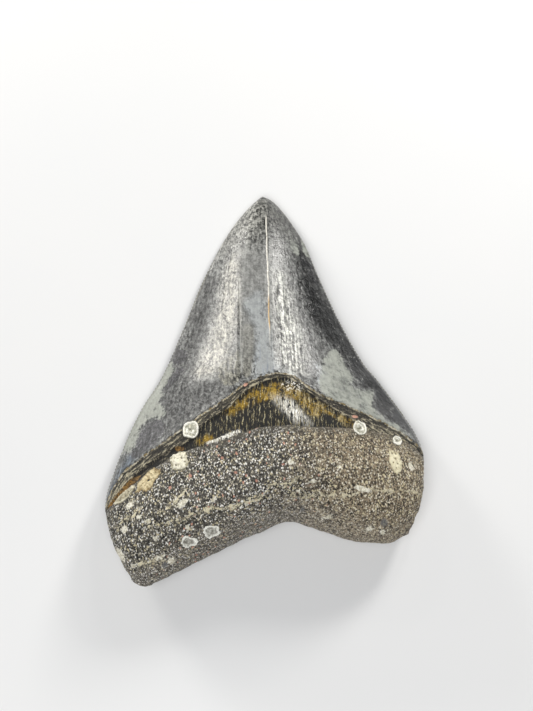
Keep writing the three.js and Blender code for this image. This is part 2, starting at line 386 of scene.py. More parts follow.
def blade_shape(x, y):
    """The hollows, creases and cracks of the enamel's lingual face, as a rise."""
    rise = np.zeros(len(x))
    for crease, way, reach, depth, bottom, top in BLADE_HOLLOWS:
        run = np.clip((x - crease) * way / reach, 0, 1)
        fade = ease(y, bottom, bottom + 8) * (1 - ease(y, top - 9, top + 4))
        rise -= depth * 6.75 * run * (1 - run) ** 2 * fade
    for low_x, high_x, bottom, top in BLADE_CRACKS:
        middle = np.interp(y, (bottom, top), (low_x, high_x))
        fade = ease(y, bottom - 1, bottom + 2) * (1 - ease(y, top - 3, top + 1))
        rise -= 0.12 * np.exp(-(((x - middle) / 0.35) ** 2)) * fade
    return rise


def on_lip(x, y):
    """1 along the crest of the rolled lip, falling to 0 beside it."""
    past = np.maximum(ROLLED_LIP[0][0] - x, 0) + np.maximum(x - ROLLED_LIP[-1][0], 0)
    return np.exp(-((gap_above(ROLLED_LIP, x, y) / 0.95) ** 2) - (past / 1.2) ** 2)


def bourlette_shape(x, y):
    """The rolled lip and the folds of the bourlette, as a rise."""
    rise = LIP_HEIGHT * on_lip(x, y)
    for centre_x, centre_y, reach_x, reach_y, height in FOLDS:
        rise += height * mound(x, y, centre_x, centre_y, reach_x, reach_y)
    return rise


# What stands off the plain body, in millimetres: the enamel's thickness, the depth of the dip,
# the pores of the root and the height of its growth lines.
ENAMEL_THICKNESS = 0.42
DIP_DEPTH = 0.75
PORE_DEPTH = 0.5
GROWTH_LINE_HEIGHT = 0.16

growth_ridge = 1 - ease(off_lines(GROWTH_LINES, x, y), 0.1, 0.6)
root_relief = (
    0.34 * wobble(places, 9, 1) + 0.2 * wobble(places, 2.6, 2) + 0.2 * wobble(places, 1.15, 3)
    - PORE_DEPTH * pits(places, 2.4, 0.7, 0.45, 4) + GROWTH_LINE_HEIGHT * growth_ridge * lingual
)
fibre_relief = 0.05 * wobble(places, 12, 6) + 0.025 * wobble(places * (1, 0.12, 1), 0.9, 7)
enamel_relief = ENAMEL_THICKNESS + fibre_relief + blade_shape(x, y) * lingual
split_relief = 0.05 + 0.07 * wobble(places * (1, 0.3, 1), 0.9, 8)
bourlette_relief = split_relief - DIP_DEPTH * in_dip + bourlette_shape(x, y) * lingual
relief = on_root * root_relief + on_enamel * enamel_relief + on_bourlette * bourlette_relief
closeness = 1 - np.abs(across)
relief *= np.where(on_enamel > 0.5, ease(closeness, 0, 0.03), 1)
normals = vertex_normals(places, triangles)
places = places + normals * relief[:, None]

# Serrations: small rounded teeth all along both cutting edges of the blade.
rim = (np.abs(across) == 1) & (up < 1)
for edge, outward in ((LEFT_EDGE, -1), (RIGHT_EDGE, 1)):
    on_edge = rim & (across == outward)
    step = 0.001
    tangent = edge_line(edge, np.minimum(up[on_edge] + step, 1)) - edge_line(edge, up[on_edge] - step)
    tangent /= np.linalg.norm(tangent, axis=1)[:, None]
    run = up[on_edge] * edge_length(edge) / SERRATION_PITCH
    run = run + SERRATION_DRIFT * wobble(places[on_edge], 4, 11)
    bite = SERRATION_DEPTH * (np.abs(np.sin(math.pi * run)) ** 0.8 - 0.6)
    wear = EDGE_WEAR * np.minimum(wobble(places[on_edge], 2.8, 13) + 0.25, 0)
    blade = ease(enamel_gap[on_edge], 0, 2) * (1 - ease(up[on_edge], 0.97, 0.99))
    out = (bite + wear) * blade
    places[on_edge, 0] += outward * out * np.abs(tangent[:, 1])
    places[on_edge, 1] += out * np.abs(tangent[:, 0])
places[:, 2] = np.maximum(places[:, 2], low[2])


def make_mesh(name, places, triangles):
    """A smooth-shaded mesh object from places in millimetres."""
    mesh = bpy.data.meshes.new(name)
    mesh.from_pydata((places * MM).tolist(), [], triangles.tolist())
    mesh.polygons.foreach_set("use_smooth", np.ones(len(triangles), bool))
    mesh.update()
    made = bpy.data.objects.new(name, mesh)
    bpy.context.scene.collection.objects.link(made)
    return made


def store(piece, name, values):
    """Keeps one number a vertex on a piece, for its finish to read."""
    layer = piece.data.attributes.new(name, "FLOAT", "POINT")
    layer.data.foreach_set("value", np.asarray(values, np.float32))


tooth = make_mesh("fossil_tooth", places, triangles)

# Stains of the enamel, as outlines in plan: sage and purple-grey ones with crisp borders, and
# softer ones. The shaded outlines are painted shade and the two bands beside the middle ridge
# are painted highlight.
SAGE = (
    ((-27.6, 4.5), (-26.8, 2), (-28.3, -1), (-29.8, -3), (-30, -6), (-30.8, -8.5), (-28.6, -11.5),
     (-28.8, -14), (-30.5, -14.2), (-32, -13.4), (-34, -14), (-35.6, -15.6), (-37, -19), (-38.6, -23),
     (-41.5, -23), (-45, -26), (-46, -22), (-40, -8), (-34, 2), (-30, 8)),
    ((7.6, 44.5), (8.6, 45.2), (9.7, 44.5), (10.1, 42), (9.6, 39.8), (8.2, 39.6), (7.6, 41.5)),
    ((10.9, 45), (11.8, 46.4), (12.8, 44.5), (14, 42), (14.6, 40.2), (13.2, 39.8), (11.8, 40.6),
     (11, 42.5)),
    ((20.2, 8), (22.5, 5), (24.6, 1), (25.8, -1.5), (24.6, -4), (26.5, -5), (29.5, -4.6), (31.2, -4),
     (31.4, -7), (30.8, -9.5), (31.6, -12), (34, -14), (37, -15.5), (40.5, -18.4), (34, -17), (26, -13.5),
     (18, -10.5), (15.5, -7), (15.5, -2), (17, 4)),
)
SLATE = (
    ((-34.8, -16.2), (-33.5, -14.8), (-31.5, -14.2), (-29.5, -15.2), (-28.4, -17.5), (-28.8, -20),
     (-31, -22.5), (-34, -24.5), (-36.5, -25.8), (-38.3, -25), (-37.6, -21), (-36.3, -18)),
    ((-29.6, -2.2), (-28.2, 0.4), (-25.5, 2.5), (-23.8, 1.5), (-25, -1), (-27.2, -3.6), (-29, -4.6)),
    ((-26.6, 9.5), (-24, 8), (-23, 5.5), (-24.8, 4.2), (-27.2, 5)),
    ((-1.5, 18.4), (-0.7, 17.6), (-0.3, 16), (-0.8, 15.2), (-1.4, 16.4)),
    ((10.1, 46), (10.8, 44.5), (10.7, 41.5), (11.8, 39.5), (13.2, 38), (14.6, 35), (15.4, 31), (14, 31),
     (12.8, 34), (11.2, 37.5), (10.2, 40), (10, 43)),
    ((25.8, -0.5), (27, -1.5), (28, -3.5), (30, -4.6), (31.4, -3.6), (32, -6.5), (31.4, -9), (32.5, -12),
     (35, -14), (38.5, -16), (41, -17.5), (45.5, -20.5), (43, -10), (36, 1), (30, 9), (27, 9), (25, 3.5)),
)
# Painted shade: the dark band down the right of the blade, a dark patch at the top of the middle ridge and
# the dark left margin.
SHADED = (
    ((9.5, 42), (12.5, 41), (16.5, 32), (20, 24), (24, 16), (30, 4), (37, -6), (43, -15), (38, -14),
     (34, -10), (31.5, -4), (28, 0), (24.5, 4.5), (19.5, 9), (15, 14), (12, 20), (10.6, 27), (9.6, 34)),
    ((-6.5, 37), (-2, 37.5), (0, 33), (0, 27), (-2.5, 23), (-5, 20.8), (-6, 21.5), (-4.8, 26),
     (-6.8, 31)),
    ((-18.5, 36), (-15.5, 31), (-16.5, 22), (-18.5, 14), (-20.5, 6), (-22.5, 0), (-21, -4.5),
     (-15, -4), (-11, -8), (-15, -13), (-21, -17.5), (-28, -21.5), (-29, -14), (-28.5, -5), (-28, 3),
     (-24.5, 14), (-21, 27)),
)
BLUE = (
    ((-7, 20), (-1.5, 25), (0, 21), (2, 12), (3, 2), (8, -3), (4, -3), (-3, -5), (-3.6, 2), (-3.4, 12)),
    ((14, 0.5), (17, 0.5), (17.4, -6), (14.6, -6)),
    ((-44.5, -35), (-39.5, -24.5), (-36, -25.5), (-39.5, -29.5), (-42.4, -34), (-45.8, -39), (-46, -36)),
    ((-25.4, -11), (-23, -11.6), (-22.6, -14.5), (-24.8, -14.5)),
)
# Painted highlight: the two pale bands on each side of the middle ridge, where the lights behind the tooth
# reflect. The right one also holds the flutes.
HIGHLIGHT_BANDS = (
    ((-8.2, 38), (-8, 25), (-8.2, 14), (-10.5, 6), (-12.5, 0), (-17, -3), (-20.5, -1.5), (-18.5, 6),
     (-15.5, 14), (-14, 22), (-13, 30), (-11, 36)),
    ((2.4, 30), (2.2, 20), (3.8, 8), (4.7, -1), (10.5, -2), (11, 4), (9.8, 12), (8, 19), (6.5, 25),
     (4.5, 31)),
)
OLIVE = (
    ((-6.8, 12.6), (-3.9, 12.3), (-3.3, 6), (-3.7, 0), (-4.3, -4), (-6.4, -4), (-6.6, 2), (-7, 7)),
    ((-14, -0.5), (-9.6, 3.8), (-7.4, 4), (-6.8, -4), (-9, -7), (-12, -6)),
)
# Stains of the bourlette and the root: ochre, rust, and chips and specks of cream lime.
OCHRE = (
    ((-11.2, -15.4), (-9, -13.2), (-7, -11), (-4, -8.8), (0, -6.9), (4, -6), (8, -6.8), (10.5, -9),
     (14, -10.6), (17, -12.5), (20, -14.8), (24, -16.2), (25.2, -17.9), (22.5, -18.4), (20.5, -16.8),
     (17, -15), (14, -16), (11, -14.8), (8, -11.4), (4, -11.6), (0, -12.1), (-3.5, -12.6), (-6, -14),
     (-9, -15.6)),
    ((-19, -23.8), (-16, -22.4), (-13.4, -22.6), (-13.8, -24), (-17, -24.6)),
    ((36.2, -18.9), (38, -18), (40, -19), (38.4, -19.8)),
)
RUST = (
    ((-44.4, -40.8), (-41.6, -37.8), (-38.7, -34.9), (-36.2, -33), (-35.3, -31.4), (-37.5, -32),
     (-40, -34), (-42.4, -36.8), (-44.6, -39.2)),
    ((-25.4, -24.8), (-23, -24.8), (-22.6, -26), (-25, -26)),
)
# Ovals of lime, of pits, of coral-pink crust and of slate: (x, y, length, width, turn in degrees).
LIME_OVALS = (
    (-7.2, -9.3, 0.9, 0.7, 90), (-11.4, -11.2, 0.9, 0.5, 40), (-16.1, -14.8, 1.0, 0.6, 30),
    (18.4, -10.1, 1.1, 0.7, 0), (19.8, -10.3, 0.7, 0.6, 0), (28, -13.2, 1.4, 0.6, 20),
    (11.3, -7.5, 2.6, 0.35, 96), (14.3, -9.2, 2.4, 0.3, -20), (16.3, -10.9, 2, 0.3, -45),
    (-25.7, -55.8, 1.9, 1.4, 10), (-40.1, -53.3, 4.6, 1.4, -54), (28.6, -46.8, 2.8, 0.9, 12),
    (32.3, -47.6, 1.3, 1.2, 0), (17, -44.2, 2.8, 0.7, 12), (-22.4, -41.6, 3.6, 1.6, 40),
    (-37.4, -40.6, 2.6, 1.5, 60), (-34.5, -44.4, 1.8, 1.3, 0), (-31.9, -45.8, 1.8, 1.3, 0),
    (-29.8, -50.3, 1.5, 1.0, 20), (-21.1, -47.8, 1.0, 1.5, 10), (7, -30.7, 1.8, 1.4, 0),
    (12.8, -35.8, 2.6, 0.8, 10), (-28.2, -54.7, 2.4, 0.8, 25), (26.5, -37.4, 4.5, 1.2, -10),
    (-38.7, -47.2, 1.6, 2.2, 0), (9, -38.2, 1.2, 0.7, 0), (-14, -40.8, 1.8, 1.2, 30),
    (-36, -56.8, 1.4, 0.9, 0), (41, -29, 1.5, 2.6, 10), (20.2, -31.6, 1.2, 0.9, 0),
)
PIT_OVALS = ((12.2, -35.4, 1.0, 0.9, 0),)
CORAL_OVALS = (
    (-5.6, -6.9, 1.5, 0.9, 30), (25.3, -15.4, 1.9, 1.1, 10), (-11.8, -29.5, 1.0, 0.8, 20),
    (-20.4, -34.2, 0.9, 1.3, 0), (-8, -33.6, 1.0, 0.9, 0), (4.8, -31.4, 1.0, 0.8, 40),
    (-2.4, -35.8, 0.9, 1.0, 0), (-26, -37.2, 0.9, 1.1, 0),
)
SLATE_OVALS = ((-27.4, -56.7, 1.6, 1.5, 0), (32.6, -45.4, 2.4, 2.0, 0), (10.2, -42, 1.4, 1, 0))


def depth_in_ovals(ovals, x, y):
    """How deep each plan point lies inside any of the ovals, negative outside them."""
    deepest = np.full(len(x), -9.0)
    for centre_x, centre_y, length, width, turn in ovals:
        turned = math.radians(turn)
        ahead = ((x - centre_x) * math.cos(turned) + (y - centre_y) * math.sin(turned)) / (length / 2)
        aside = ((y - centre_y) * math.cos(turned) - (x - centre_x) * math.sin(turned)) / (width / 2)
        deepest = np.maximum(deepest, (1 - np.hypot(ahead, aside)) * width / 2)
    return deepest


row_ends = plan_points(np.ones(len(up)), up) - plan_points(-np.ones(len(up)), up)
half_width = np.linalg.norm(row_ends, axis=1) / 2
fields = {
    "across": across,
    "up": up,
    "enamel_gap": enamel_gap,
    "step_gap": step_gap,
    "bourlette_gap": bourlette_gap,
    "rim_gap": (1 - np.abs(across)) * half_width,
    "growth_gap": off_lines(GROWTH_LINES, x, y + 0.9 * wobble(places, 1.7, 21)),
    "lime": depth_in_ovals(LIME_OVALS, x, y),
    "pit": depth_in_ovals(PIT_OVALS, x, y),
    "grey_spot": depth_in_ovals(SLATE_OVALS, x, y),
    "coral": depth_in_ovals(CORAL_OVALS, x, y),
    "rolled": on_lip(x, y),
    # The bourlette's painted glints at the top of its arch, and its swelling, glossy and with a painted
    # highlight.
    "painted_glints": np.exp(-(((x - 7.6) / 3.2) ** 2) - ((y + 7) / 1.9) ** 2),
    "gloss_and_highlight": np.exp(-(((x - 7.4 + 0.75 * (y + 15)) / 3) ** 4) - ((y + 15) / 4.4) ** 4),
}
for name, outlines in (
    ("sage", SAGE), ("slate", SLATE), ("shaded", SHADED), ("blue", BLUE),
    ("highlight_band", HIGHLIGHT_BANDS), ("olive", OLIVE), ("ochre", OCHRE), ("rust", RUST),
):
    fields[name] = depth_inside(outlines, x, y)
# The stains, chips and painted light are on the lingual face only: the labial one is kept far from them.
FAR_OFF = 9.0
ON_BOTH_FACES = ("across", "up", "enamel_gap", "step_gap", "bourlette_gap", "rim_gap")
for name, values in fields.items():
    hidden = FAR_OFF if name == "growth_gap" else -FAR_OFF
    store(tooth, name, values if name in ON_BOTH_FACES else np.where(lingual, values, hidden))
store(tooth, "lingual", lingual)


def colour(*values):
    """A colour as a painter's 0 to 255 values, in the numbers that the shader takes."""
    shares = [value / 255 for value in values]
    linear = [c / 12.92 if c <= 0.04 else ((c + 0.055) / 1.055) ** 2.4 for c in shares]
    return (*linear, 1.0)


class Finish:
    """A material in the making. Each method adds one node and gives back what comes out of it."""

    def __init__(self, name):
        self.material = bpy.data.materials.new(name)
        self.material.use_nodes = True
        self.tree = self.material.node_tree
        self.tree.nodes.clear()
        coordinates = self.add("ShaderNodeTexCoord")
        scaled = self.add("ShaderNodeVectorMath", operation="SCALE")
        self.join(coordinates.outputs["Object"], scaled.inputs[0])
        scaled.inputs["Scale"].default_value = 1 / MM
        self.place = scaled.outputs[0]

    def add(self, kind, **settings):
        made = self.tree.nodes.new(kind)
        for name, value in settings.items():
            setattr(made, name, value)
        return made

    def join(self, source, socket):
        if isinstance(source, bpy.types.NodeSocket):
            self.tree.links.new(source, socket)
        else:
            socket.default_value = source

    def sum(self, *values, operation="ADD"):
        total = values[0]
        for value in values[1:]:
            made = self.add("ShaderNodeMath", operation=operation)
            self.join(total, made.inputs[0])
            self.join(value, made.inputs[1])
            total = made.outputs[0]
        return total

    def times(self, *values):
        return self.sum(*values, operation="MULTIPLY")

    def less(self, *values):
        return self.sum(*values, operation="SUBTRACT")

    def most(self, *values):
        return self.sum(*values, operation="MAXIMUM")

    def size_of(self, value):
        made = self.add("ShaderNodeMath", operation="ABSOLUTE")
        self.join(value, made.inputs[0])
        return made.outputs[0]

    def field(self, name):
        return self.add("ShaderNodeAttribute", attribute_name=name).outputs["Fac"]

    def axes(self):
        made = self.add("ShaderNodeSeparateXYZ")
        self.join(self.place, made.inputs[0])
        return made.outputs

    def point(self, x, y, z=0.0):
        made = self.add("ShaderNodeCombineXYZ")
        for value, socket in zip((x, y, z), made.inputs):
            self.join(value, socket)
        return made.outputs[0]

    def clouds(self, size, detail=2.0, rough=0.5, at=None, warp=0.0):
        """Noise from 0 to 1 with lumps of a size in millimetres."""
        made = self.add("ShaderNodeTexNoise")
        self.join(self.place if at is None else at, made.inputs["Vector"])
        made.inputs["Scale"].default_value = 1 / size
        made.inputs["Detail"].default_value = detail
        made.inputs["Roughness"].default_value = rough
        made.inputs["Distortion"].default_value = warp
        return made.outputs["Fac"]

    def grains(self, size, at=None):
        """Rounded cells of a size in millimetres: the distance from a cell's middle, and a
        number from 0 to 1 that is the cell's own."""
        made = self.add("ShaderNodeTexVoronoi")
        self.join(self.place if at is None else at, made.inputs["Vector"])
        made.inputs["Scale"].default_value = 1 / size
        split = self.add("ShaderNodeSeparateColor")
        self.join(made.outputs["Color"], split.inputs[0])
        return made.outputs["Distance"], split.outputs[0]

    def off_splits(self, at, each_mm):
        """How far a place is from the nearest of many parallel splits, so many to each
        millimetre, as a share of the gap between them."""
        made = self.add("ShaderNodeTexVoronoi", voronoi_dimensions="1D", feature="DISTANCE_TO_EDGE")
        self.join(at, made.inputs["W"])
        made.inputs["Scale"].default_value = each_mm
        return made.outputs["Distance"]

    def jumbled(self, each_mm, reach):
        """The same places, each pushed up to a reach in millimetres any way, by noise with so
        many lumps to each millimetre."""
        push = self.add("ShaderNodeTexNoise")
        self.join(self.place, push.inputs["Vector"])
        push.inputs["Scale"].default_value = each_mm
        moved = self.add("ShaderNodeVectorMath", operation="MULTIPLY_ADD")
        self.join(push.outputs["Color"], moved.inputs[0])
        moved.inputs[1].default_value = (reach, reach, reach)
        self.join(self.place, moved.inputs[2])
        return moved.outputs[0]

    def off_middle(self, value, amount):
        """Noise drawn out to both sides of zero."""
        return self.times(self.less(value, 0.5), amount)

    def turned(self, at, turn, squash):
        """The same places turned about upright and drawn out along y."""
        made = self.add("ShaderNodeMapping")
        self.join(at, made.inputs["Vector"])
        made.inputs["Rotation"].default_value = (0, 0, turn)
        made.inputs["Scale"].default_value = (1, squash, 1)
        return made.outputs[0]

    def flecks(self, size, reach, share, at, rag=0.0):
        """1 inside small ragged dots, one to each cell of a size that is among the share picked."""
        far, pick = self.grains(size, at=at)
        inside = self.below(self.sum(far, rag), reach - 0.07, reach + 0.07)
        return self.times(inside, self.above(pick, 1 - share, 1.01 - share))

    def above(self, value, low, high):
        """0 where value is under low, 1 where it is over high, and smooth between."""
        made = self.add("ShaderNodeMapRange", interpolation_type="SMOOTHSTEP")
        self.join(value, made.inputs["Value"])
        made.inputs["From Min"].default_value = low
        made.inputs["From Max"].default_value = high
        return made.outputs["Result"]

    def below(self, value, low, high):
        made = self.add("ShaderNodeMapRange", interpolation_type="SMOOTHSTEP")
        self.join(value, made.inputs["Value"])
        made.inputs["From Min"].default_value = low
        made.inputs["From Max"].default_value = high
        made.inputs["To Min"].default_value = 1
        made.inputs["To Max"].default_value = 0
        return made.outputs["Result"]

    def spread(self, value, low, high):
        """Stretches a value from 0 to 1 over low to high."""
        made = self.add("ShaderNodeMapRange")
        self.join(value, made.inputs["Value"])
        made.inputs["To Min"].default_value = low
        made.inputs["To Max"].default_value = high
        return made.outputs["Result"]

    def coat(self, under, over, share):
        """One colour laid over another where share is 1."""
        made = self.add("ShaderNodeMix", data_type="RGBA", clamp_factor=True)
        self.join(share, made.inputs[0])
        for tone, socket in ((under, made.inputs[6]), (over, made.inputs[7])):
            self.join(colour(*tone) if isinstance(tone, tuple) else tone, socket)
        return made.outputs[2]

    def shade(self, under, amount):
        """A colour made darker or lighter by a factor."""
        made = self.add("ShaderNodeVectorMath", operation="SCALE")
        self.join(under, made.inputs[0])
        self.join(amount, made.inputs["Scale"])
        return made.outputs[0]

    def pick(self, under, over, share):
        """One number in place of another where share is 1."""
        made = self.add("ShaderNodeMix", data_type="FLOAT", clamp_factor=True)
        self.join(share, made.inputs[0])
        self.join(under, made.inputs[2])
        self.join(over, made.inputs[3])
        return made.outputs[0]

    def finish(self, base, rough, height):
        """Ends the finish: its colour, its roughness and its relief in millimetres."""
        bump = self.add("ShaderNodeBump")
        bump.inputs["Strength"].default_value = 1.0
        bump.inputs["Distance"].default_value = MM
        self.join(height, bump.inputs["Height"])
        surface = self.add("ShaderNodeBsdfPrincipled")
        self.join(base, surface.inputs["Base Color"])
        self.join(rough, surface.inputs["Roughness"])
        self.join(bump.outputs[0], surface.inputs["Normal"])
        surface.inputs["IOR"].default_value = 1.5
        end = self.add("ShaderNodeOutputMaterial")
        self.join(surface.outputs[0], end.inputs["Surface"])
        return self.material


# Colours of the enamel.
ENAMEL_GREY = (84, 85, 84), (120, 121, 119)
TIP_GREY = (154, 153, 146), (78, 78, 74)
BLUE_GREY = (84, 93, 102), (156, 159, 159)
BLUE_STREAK = (112, 121, 136)
# The pale greys of the painted highlight bands.
HIGHLIGHT_GREY = (170, 166, 154), (206, 206, 196)
SHADE_GREY = (82, 82, 81), (20, 21, 22)
SLATE_GREY = (66, 65, 68), (30, 31, 33)
SAGE_GREY = (138, 142, 134), (160, 163, 154)
OLIVE_GREY = (104, 101, 86)
MIDDLE_GREY = (148, 148, 145)
FLAKE = (196, 196, 190)
DARK_SPECK = (34, 34, 34)
# The pale grey of the painted highlight along the cutting edges.
EDGE_HIGHLIGHT = (150, 149, 136)
CRACK_LIME = (216, 212, 200)
CRACK_OCHRE = (198, 166, 116)
CRACK_SHADE = (40, 40, 40)
SECOND_CRACK = (200, 198, 188)
FURROW = (70, 72, 74)


def enamel_stains_and_painted_light(f, x, y, mottle, ragged, fibres, cloud, lingual):
    """The stained colour of the enamel, with its painted shade and painted highlight, and the shares
    of it that are sage, shaded and smooth.
    """
    on_right = f.above(x, 2, 9)
    base = f.coat(*ENAMEL_GREY, f.above(cloud, 0.34, 0.66))
    tip_tone = f.coat(*TIP_GREY, f.above(x, -6, 3))
    base = f.coat(base, tip_tone, f.times(f.above(f.field("up"), 0.72, 0.9), 0.7))
    blue_edge = f.sum(f.field("blue"), f.times(ragged, 5))
    blue_tone = f.coat(*BLUE_GREY, f.above(x, -38, -30))
    base = f.coat(base, blue_tone, f.above(blue_edge, -0.8, 1.6))
    streak = f.times(f.above(fibres, 0.5, 0.7), f.above(blue_edge, -1, 2), f.below(y, 0, 16))
    base = f.coat(base, BLUE_STREAK, f.times(streak, 0.55))
    # Painted highlight on the two bands beside the middle ridge.
    highlight_band = f.above(f.sum(f.field("highlight_band"), f.times(ragged, 7)), -2.6, 3)
    highlight_tone = f.coat(*HIGHLIGHT_GREY, f.above(x, -6, 0))
    base = f.coat(base, highlight_tone, f.times(highlight_band, 0.62))
    # Painted shade on the dark bands, mottled on the right and lighter near the middle ridge.
    shaded = f.above(f.sum(f.field("shaded"), f.times(ragged, 9)), -2.4, 2.4)
    darker = f.times(on_right, f.spread(f.above(mottle, 0.46, 0.62), 0.2, 0.02))
    lighter = f.times(f.above(x, -10, -6), f.below(x, 2, 8), -0.5)
    base = f.coat(base, f.coat(*SHADE_GREY, on_right), f.times(shaded, f.sum(0.75, darker, lighter)))
    slate = f.above(f.sum(f.field("slate"), f.times(ragged, 6)), -0.25, 0.35)
    base = f.coat(base, f.coat(*SLATE_GREY, f.above(x, 2, 8)), f.times(slate, 0.88))
    sage = f.above(f.sum(f.field("sage"), f.times(ragged, 6)), -0.3, 0.6)
    sage = f.times(sage, f.spread(f.above(mottle, 0.36, 0.5), 0.6, 1))
    sage_tone = f.coat(*SAGE_GREY, f.sum(f.above(mottle, 0.4, 0.6), f.below(x, -20, -10)))
    base = f.coat(base, sage_tone, f.times(sage, 0.9))
    olive = f.above(f.sum(f.field("olive"), f.times(ragged, 2.4)), -0.4, 0.6)
    base = f.coat(base, OLIVE_GREY, f.times(olive, 0.6))
    between = f.times(f.above(x, -9, -6.5), f.below(x, 1, 4.5), f.above(y, -6, 4), f.below(y, 36, 46))
    between = f.times(between, lingual)
    base = f.coat(base, MIDDLE_GREY, f.times(between, f.below(blue_edge, -1, 1), 0.5))
    on_blue = f.above(blue_edge, 0, 2)
    smooth = f.most(f.times(sage, 0.72), f.times(on_blue, 0.72), f.times(between, 0.5))
    return base, sage, shaded, smooth


def enamel_cracks(f, base, x, y, mottle, dots, lingual):
    """The long crack up the middle of the blade, pale with lime and ochre in one stretch, the
    shadow beside it and a fainter crack on its left."""
    drift = f.off_middle(f.clouds(6, 2, 0.5), 0.7)
    middle = f.less(x, f.sum(0.15, f.times(f.less(52, y), 0.026), drift))
    crack = f.times(f.below(f.size_of(middle), 0.1, 0.26), f.above(y, 2, 14), f.below(y, 51, 53.5))
    filled = f.spread(f.above(f.sum(mottle, f.times(dots, 0.3)), 0.5, 0.62), 0.5, 1)
    crack = f.times(crack, lingual, filled, f.spread(f.above(y, 8, 14), 0.5, 1))
    ochre_part = f.times(f.above(y, 10, 13), f.below(y, 20, 24))
    base = f.coat(base, f.coat(CRACK_LIME, CRACK_OCHRE, ochre_part), crack)
    beside = f.times(f.below(f.size_of(f.less(middle, 0.4)), 0.06, 0.2), f.above(y, -2, 6))
    base = f.coat(base, CRACK_SHADE, f.times(beside, f.below(y, 50, 53), lingual, 0.4))
    second = f.less(x, f.sum(-6.9, f.times(f.sum(y, 1), -0.031), f.times(drift, 0.6)))
    second = f.times(f.below(f.size_of(second), 0.06, 0.22), f.above(y, -3, 2), f.below(y, 26, 32))
    base = f.coat(base, SECOND_CRACK, f.times(second, lingual, 0.25))
    return base, crack


def enamel_finish(f):
    """Blue-grey enamel: stained, finely stippled, with fibres that run up the blade."""
    x, y, z = f.axes()
    lingual = f.field("lingual")
    fanned = f.times(f.sum(x, f.times(f.field("across"), 22)), 0.55)
    cloud = f.clouds(9, 4, 0.6, warp=0.4)
    mottle = f.clouds(2.4, 5, 0.65, warp=0.3)
    ragged = f.less(f.sum(f.times(mottle, 0.6), f.times(f.clouds(0.8, 3, 0.6), 0.4)), 0.5)
    fibres = f.clouds(0.75, 3, 0.6, at=f.point(fanned, f.times(y, 0.1), 0.0))
    fine_fibres = f.clouds(0.4, 2, 0.55, at=f.point(fanned, f.times(y, 0.08), 3.0))
    skewed = f.point(f.sum(x, f.times(y, 0.45)), f.times(f.less(y, f.times(x, 0.45)), 0.55), z)
    stipple = f.clouds(1.0, 3, 0.7, at=skewed)
    dots = f.clouds(0.62, 2, 0.6)
    base, sage, shaded, smooth = enamel_stains_and_painted_light(f, x, y, mottle, ragged, fibres, cloud, lingual)
    worms = f.sum(f.times(f.above(stipple, 0.42, 0.6), 0.5), f.times(f.above(dots, 0.4, 0.62), 0.35))
    worms = f.sum(worms, f.times(f.above(fibres, 0.38, 0.64), 0.35), f.off_middle(mottle, 0.7))
    base = f.shade(base, f.sum(1.0, f.times(f.less(worms, 0.58), f.spread(smooth, 2.1, -0.35))))
    rough_ground = f.below(smooth, 0.2, 0.6)
    flakes = f.times(f.above(stipple, 0.6, 0.68), f.above(dots, 0.44, 0.56), rough_ground)
    base = f.coat(base, FLAKE, f.times(flakes, f.above(mottle, 0.4, 0.6), 0.6))
    specks = f.times(f.below(stipple, 0.38, 0.45), f.above(dots, 0.46, 0.56), rough_ground)
    base = f.coat(base, DARK_SPECK, f.times(specks, 0.7))
    # Painted highlight: a pale line along both cutting edges.
    rim_highlight = f.times(f.below(f.field("rim_gap"), 0.2, 0.65), f.above(mottle, 0.38, 0.5))
    base = f.coat(base, EDGE_HIGHLIGHT, f.times(rim_highlight, 0.5))
    base, crack = enamel_cracks(f, base, x, y, mottle, dots, lingual)
    flutes = f.times(f.above(f.field("highlight_band"), -1.6, 0.8), f.above(x, 1, 4))
    wavy = f.sum(x, f.off_middle(f.clouds(2.6, 3, 0.6), 1.3), f.times(y, 0.05))
    furrow = f.below(f.off_splits(wavy, 0.95), 0.04, 0.2)
    furrow = f.times(furrow, f.above(mottle, 0.36, 0.5), flutes)
    base = f.coat(base, FURROW, f.times(furrow, 0.72))
    rough = f.sum(0.2, f.times(stipple, 0.1), f.times(mottle, 0.1), f.times(sage, 0.2))
    rough = f.sum(rough, f.times(shaded, f.spread(f.above(x, -10, 4), 0.3, -0.12)))
    height = f.sum(
        f.times(fibres, f.spread(flutes, 0.05, 0.12)), f.times(fine_fibres, 0.02), f.times(stipple, 0.085),
        f.times(dots, 0.03), f.times(mottle, 0.12), f.times(crack, -0.04), f.times(furrow, -0.05),
    )
    return base, rough, height


# Colours of the bourlette.
BAND_BROWN = (28, 25, 20), (104, 98, 83)
BAND_FLAKE = (188, 180, 154)
DIP_BLACK = (5, 5, 4), (36, 32, 23)
DIP_THREAD = (122, 112, 84)
DIP_FLAKED = (16, 14, 11), (112, 105, 90)
OCHRE_DEEP = (36, 28, 8), (138, 110, 20)
OCHRE_PALE = (186, 158, 70)
OCHRE_GREY = (176, 164, 128)
RUST_BROWN = (84, 62, 28), (150, 112, 54)
DARK_SPLIT = (12, 11, 9)
PALE_SPLIT = (150, 134, 88), (206, 198, 166)
# The white of the painted highlight and glints on the bourlette.
HIGHLIGHT_WHITE = (206, 203, 192), (252, 250, 244)


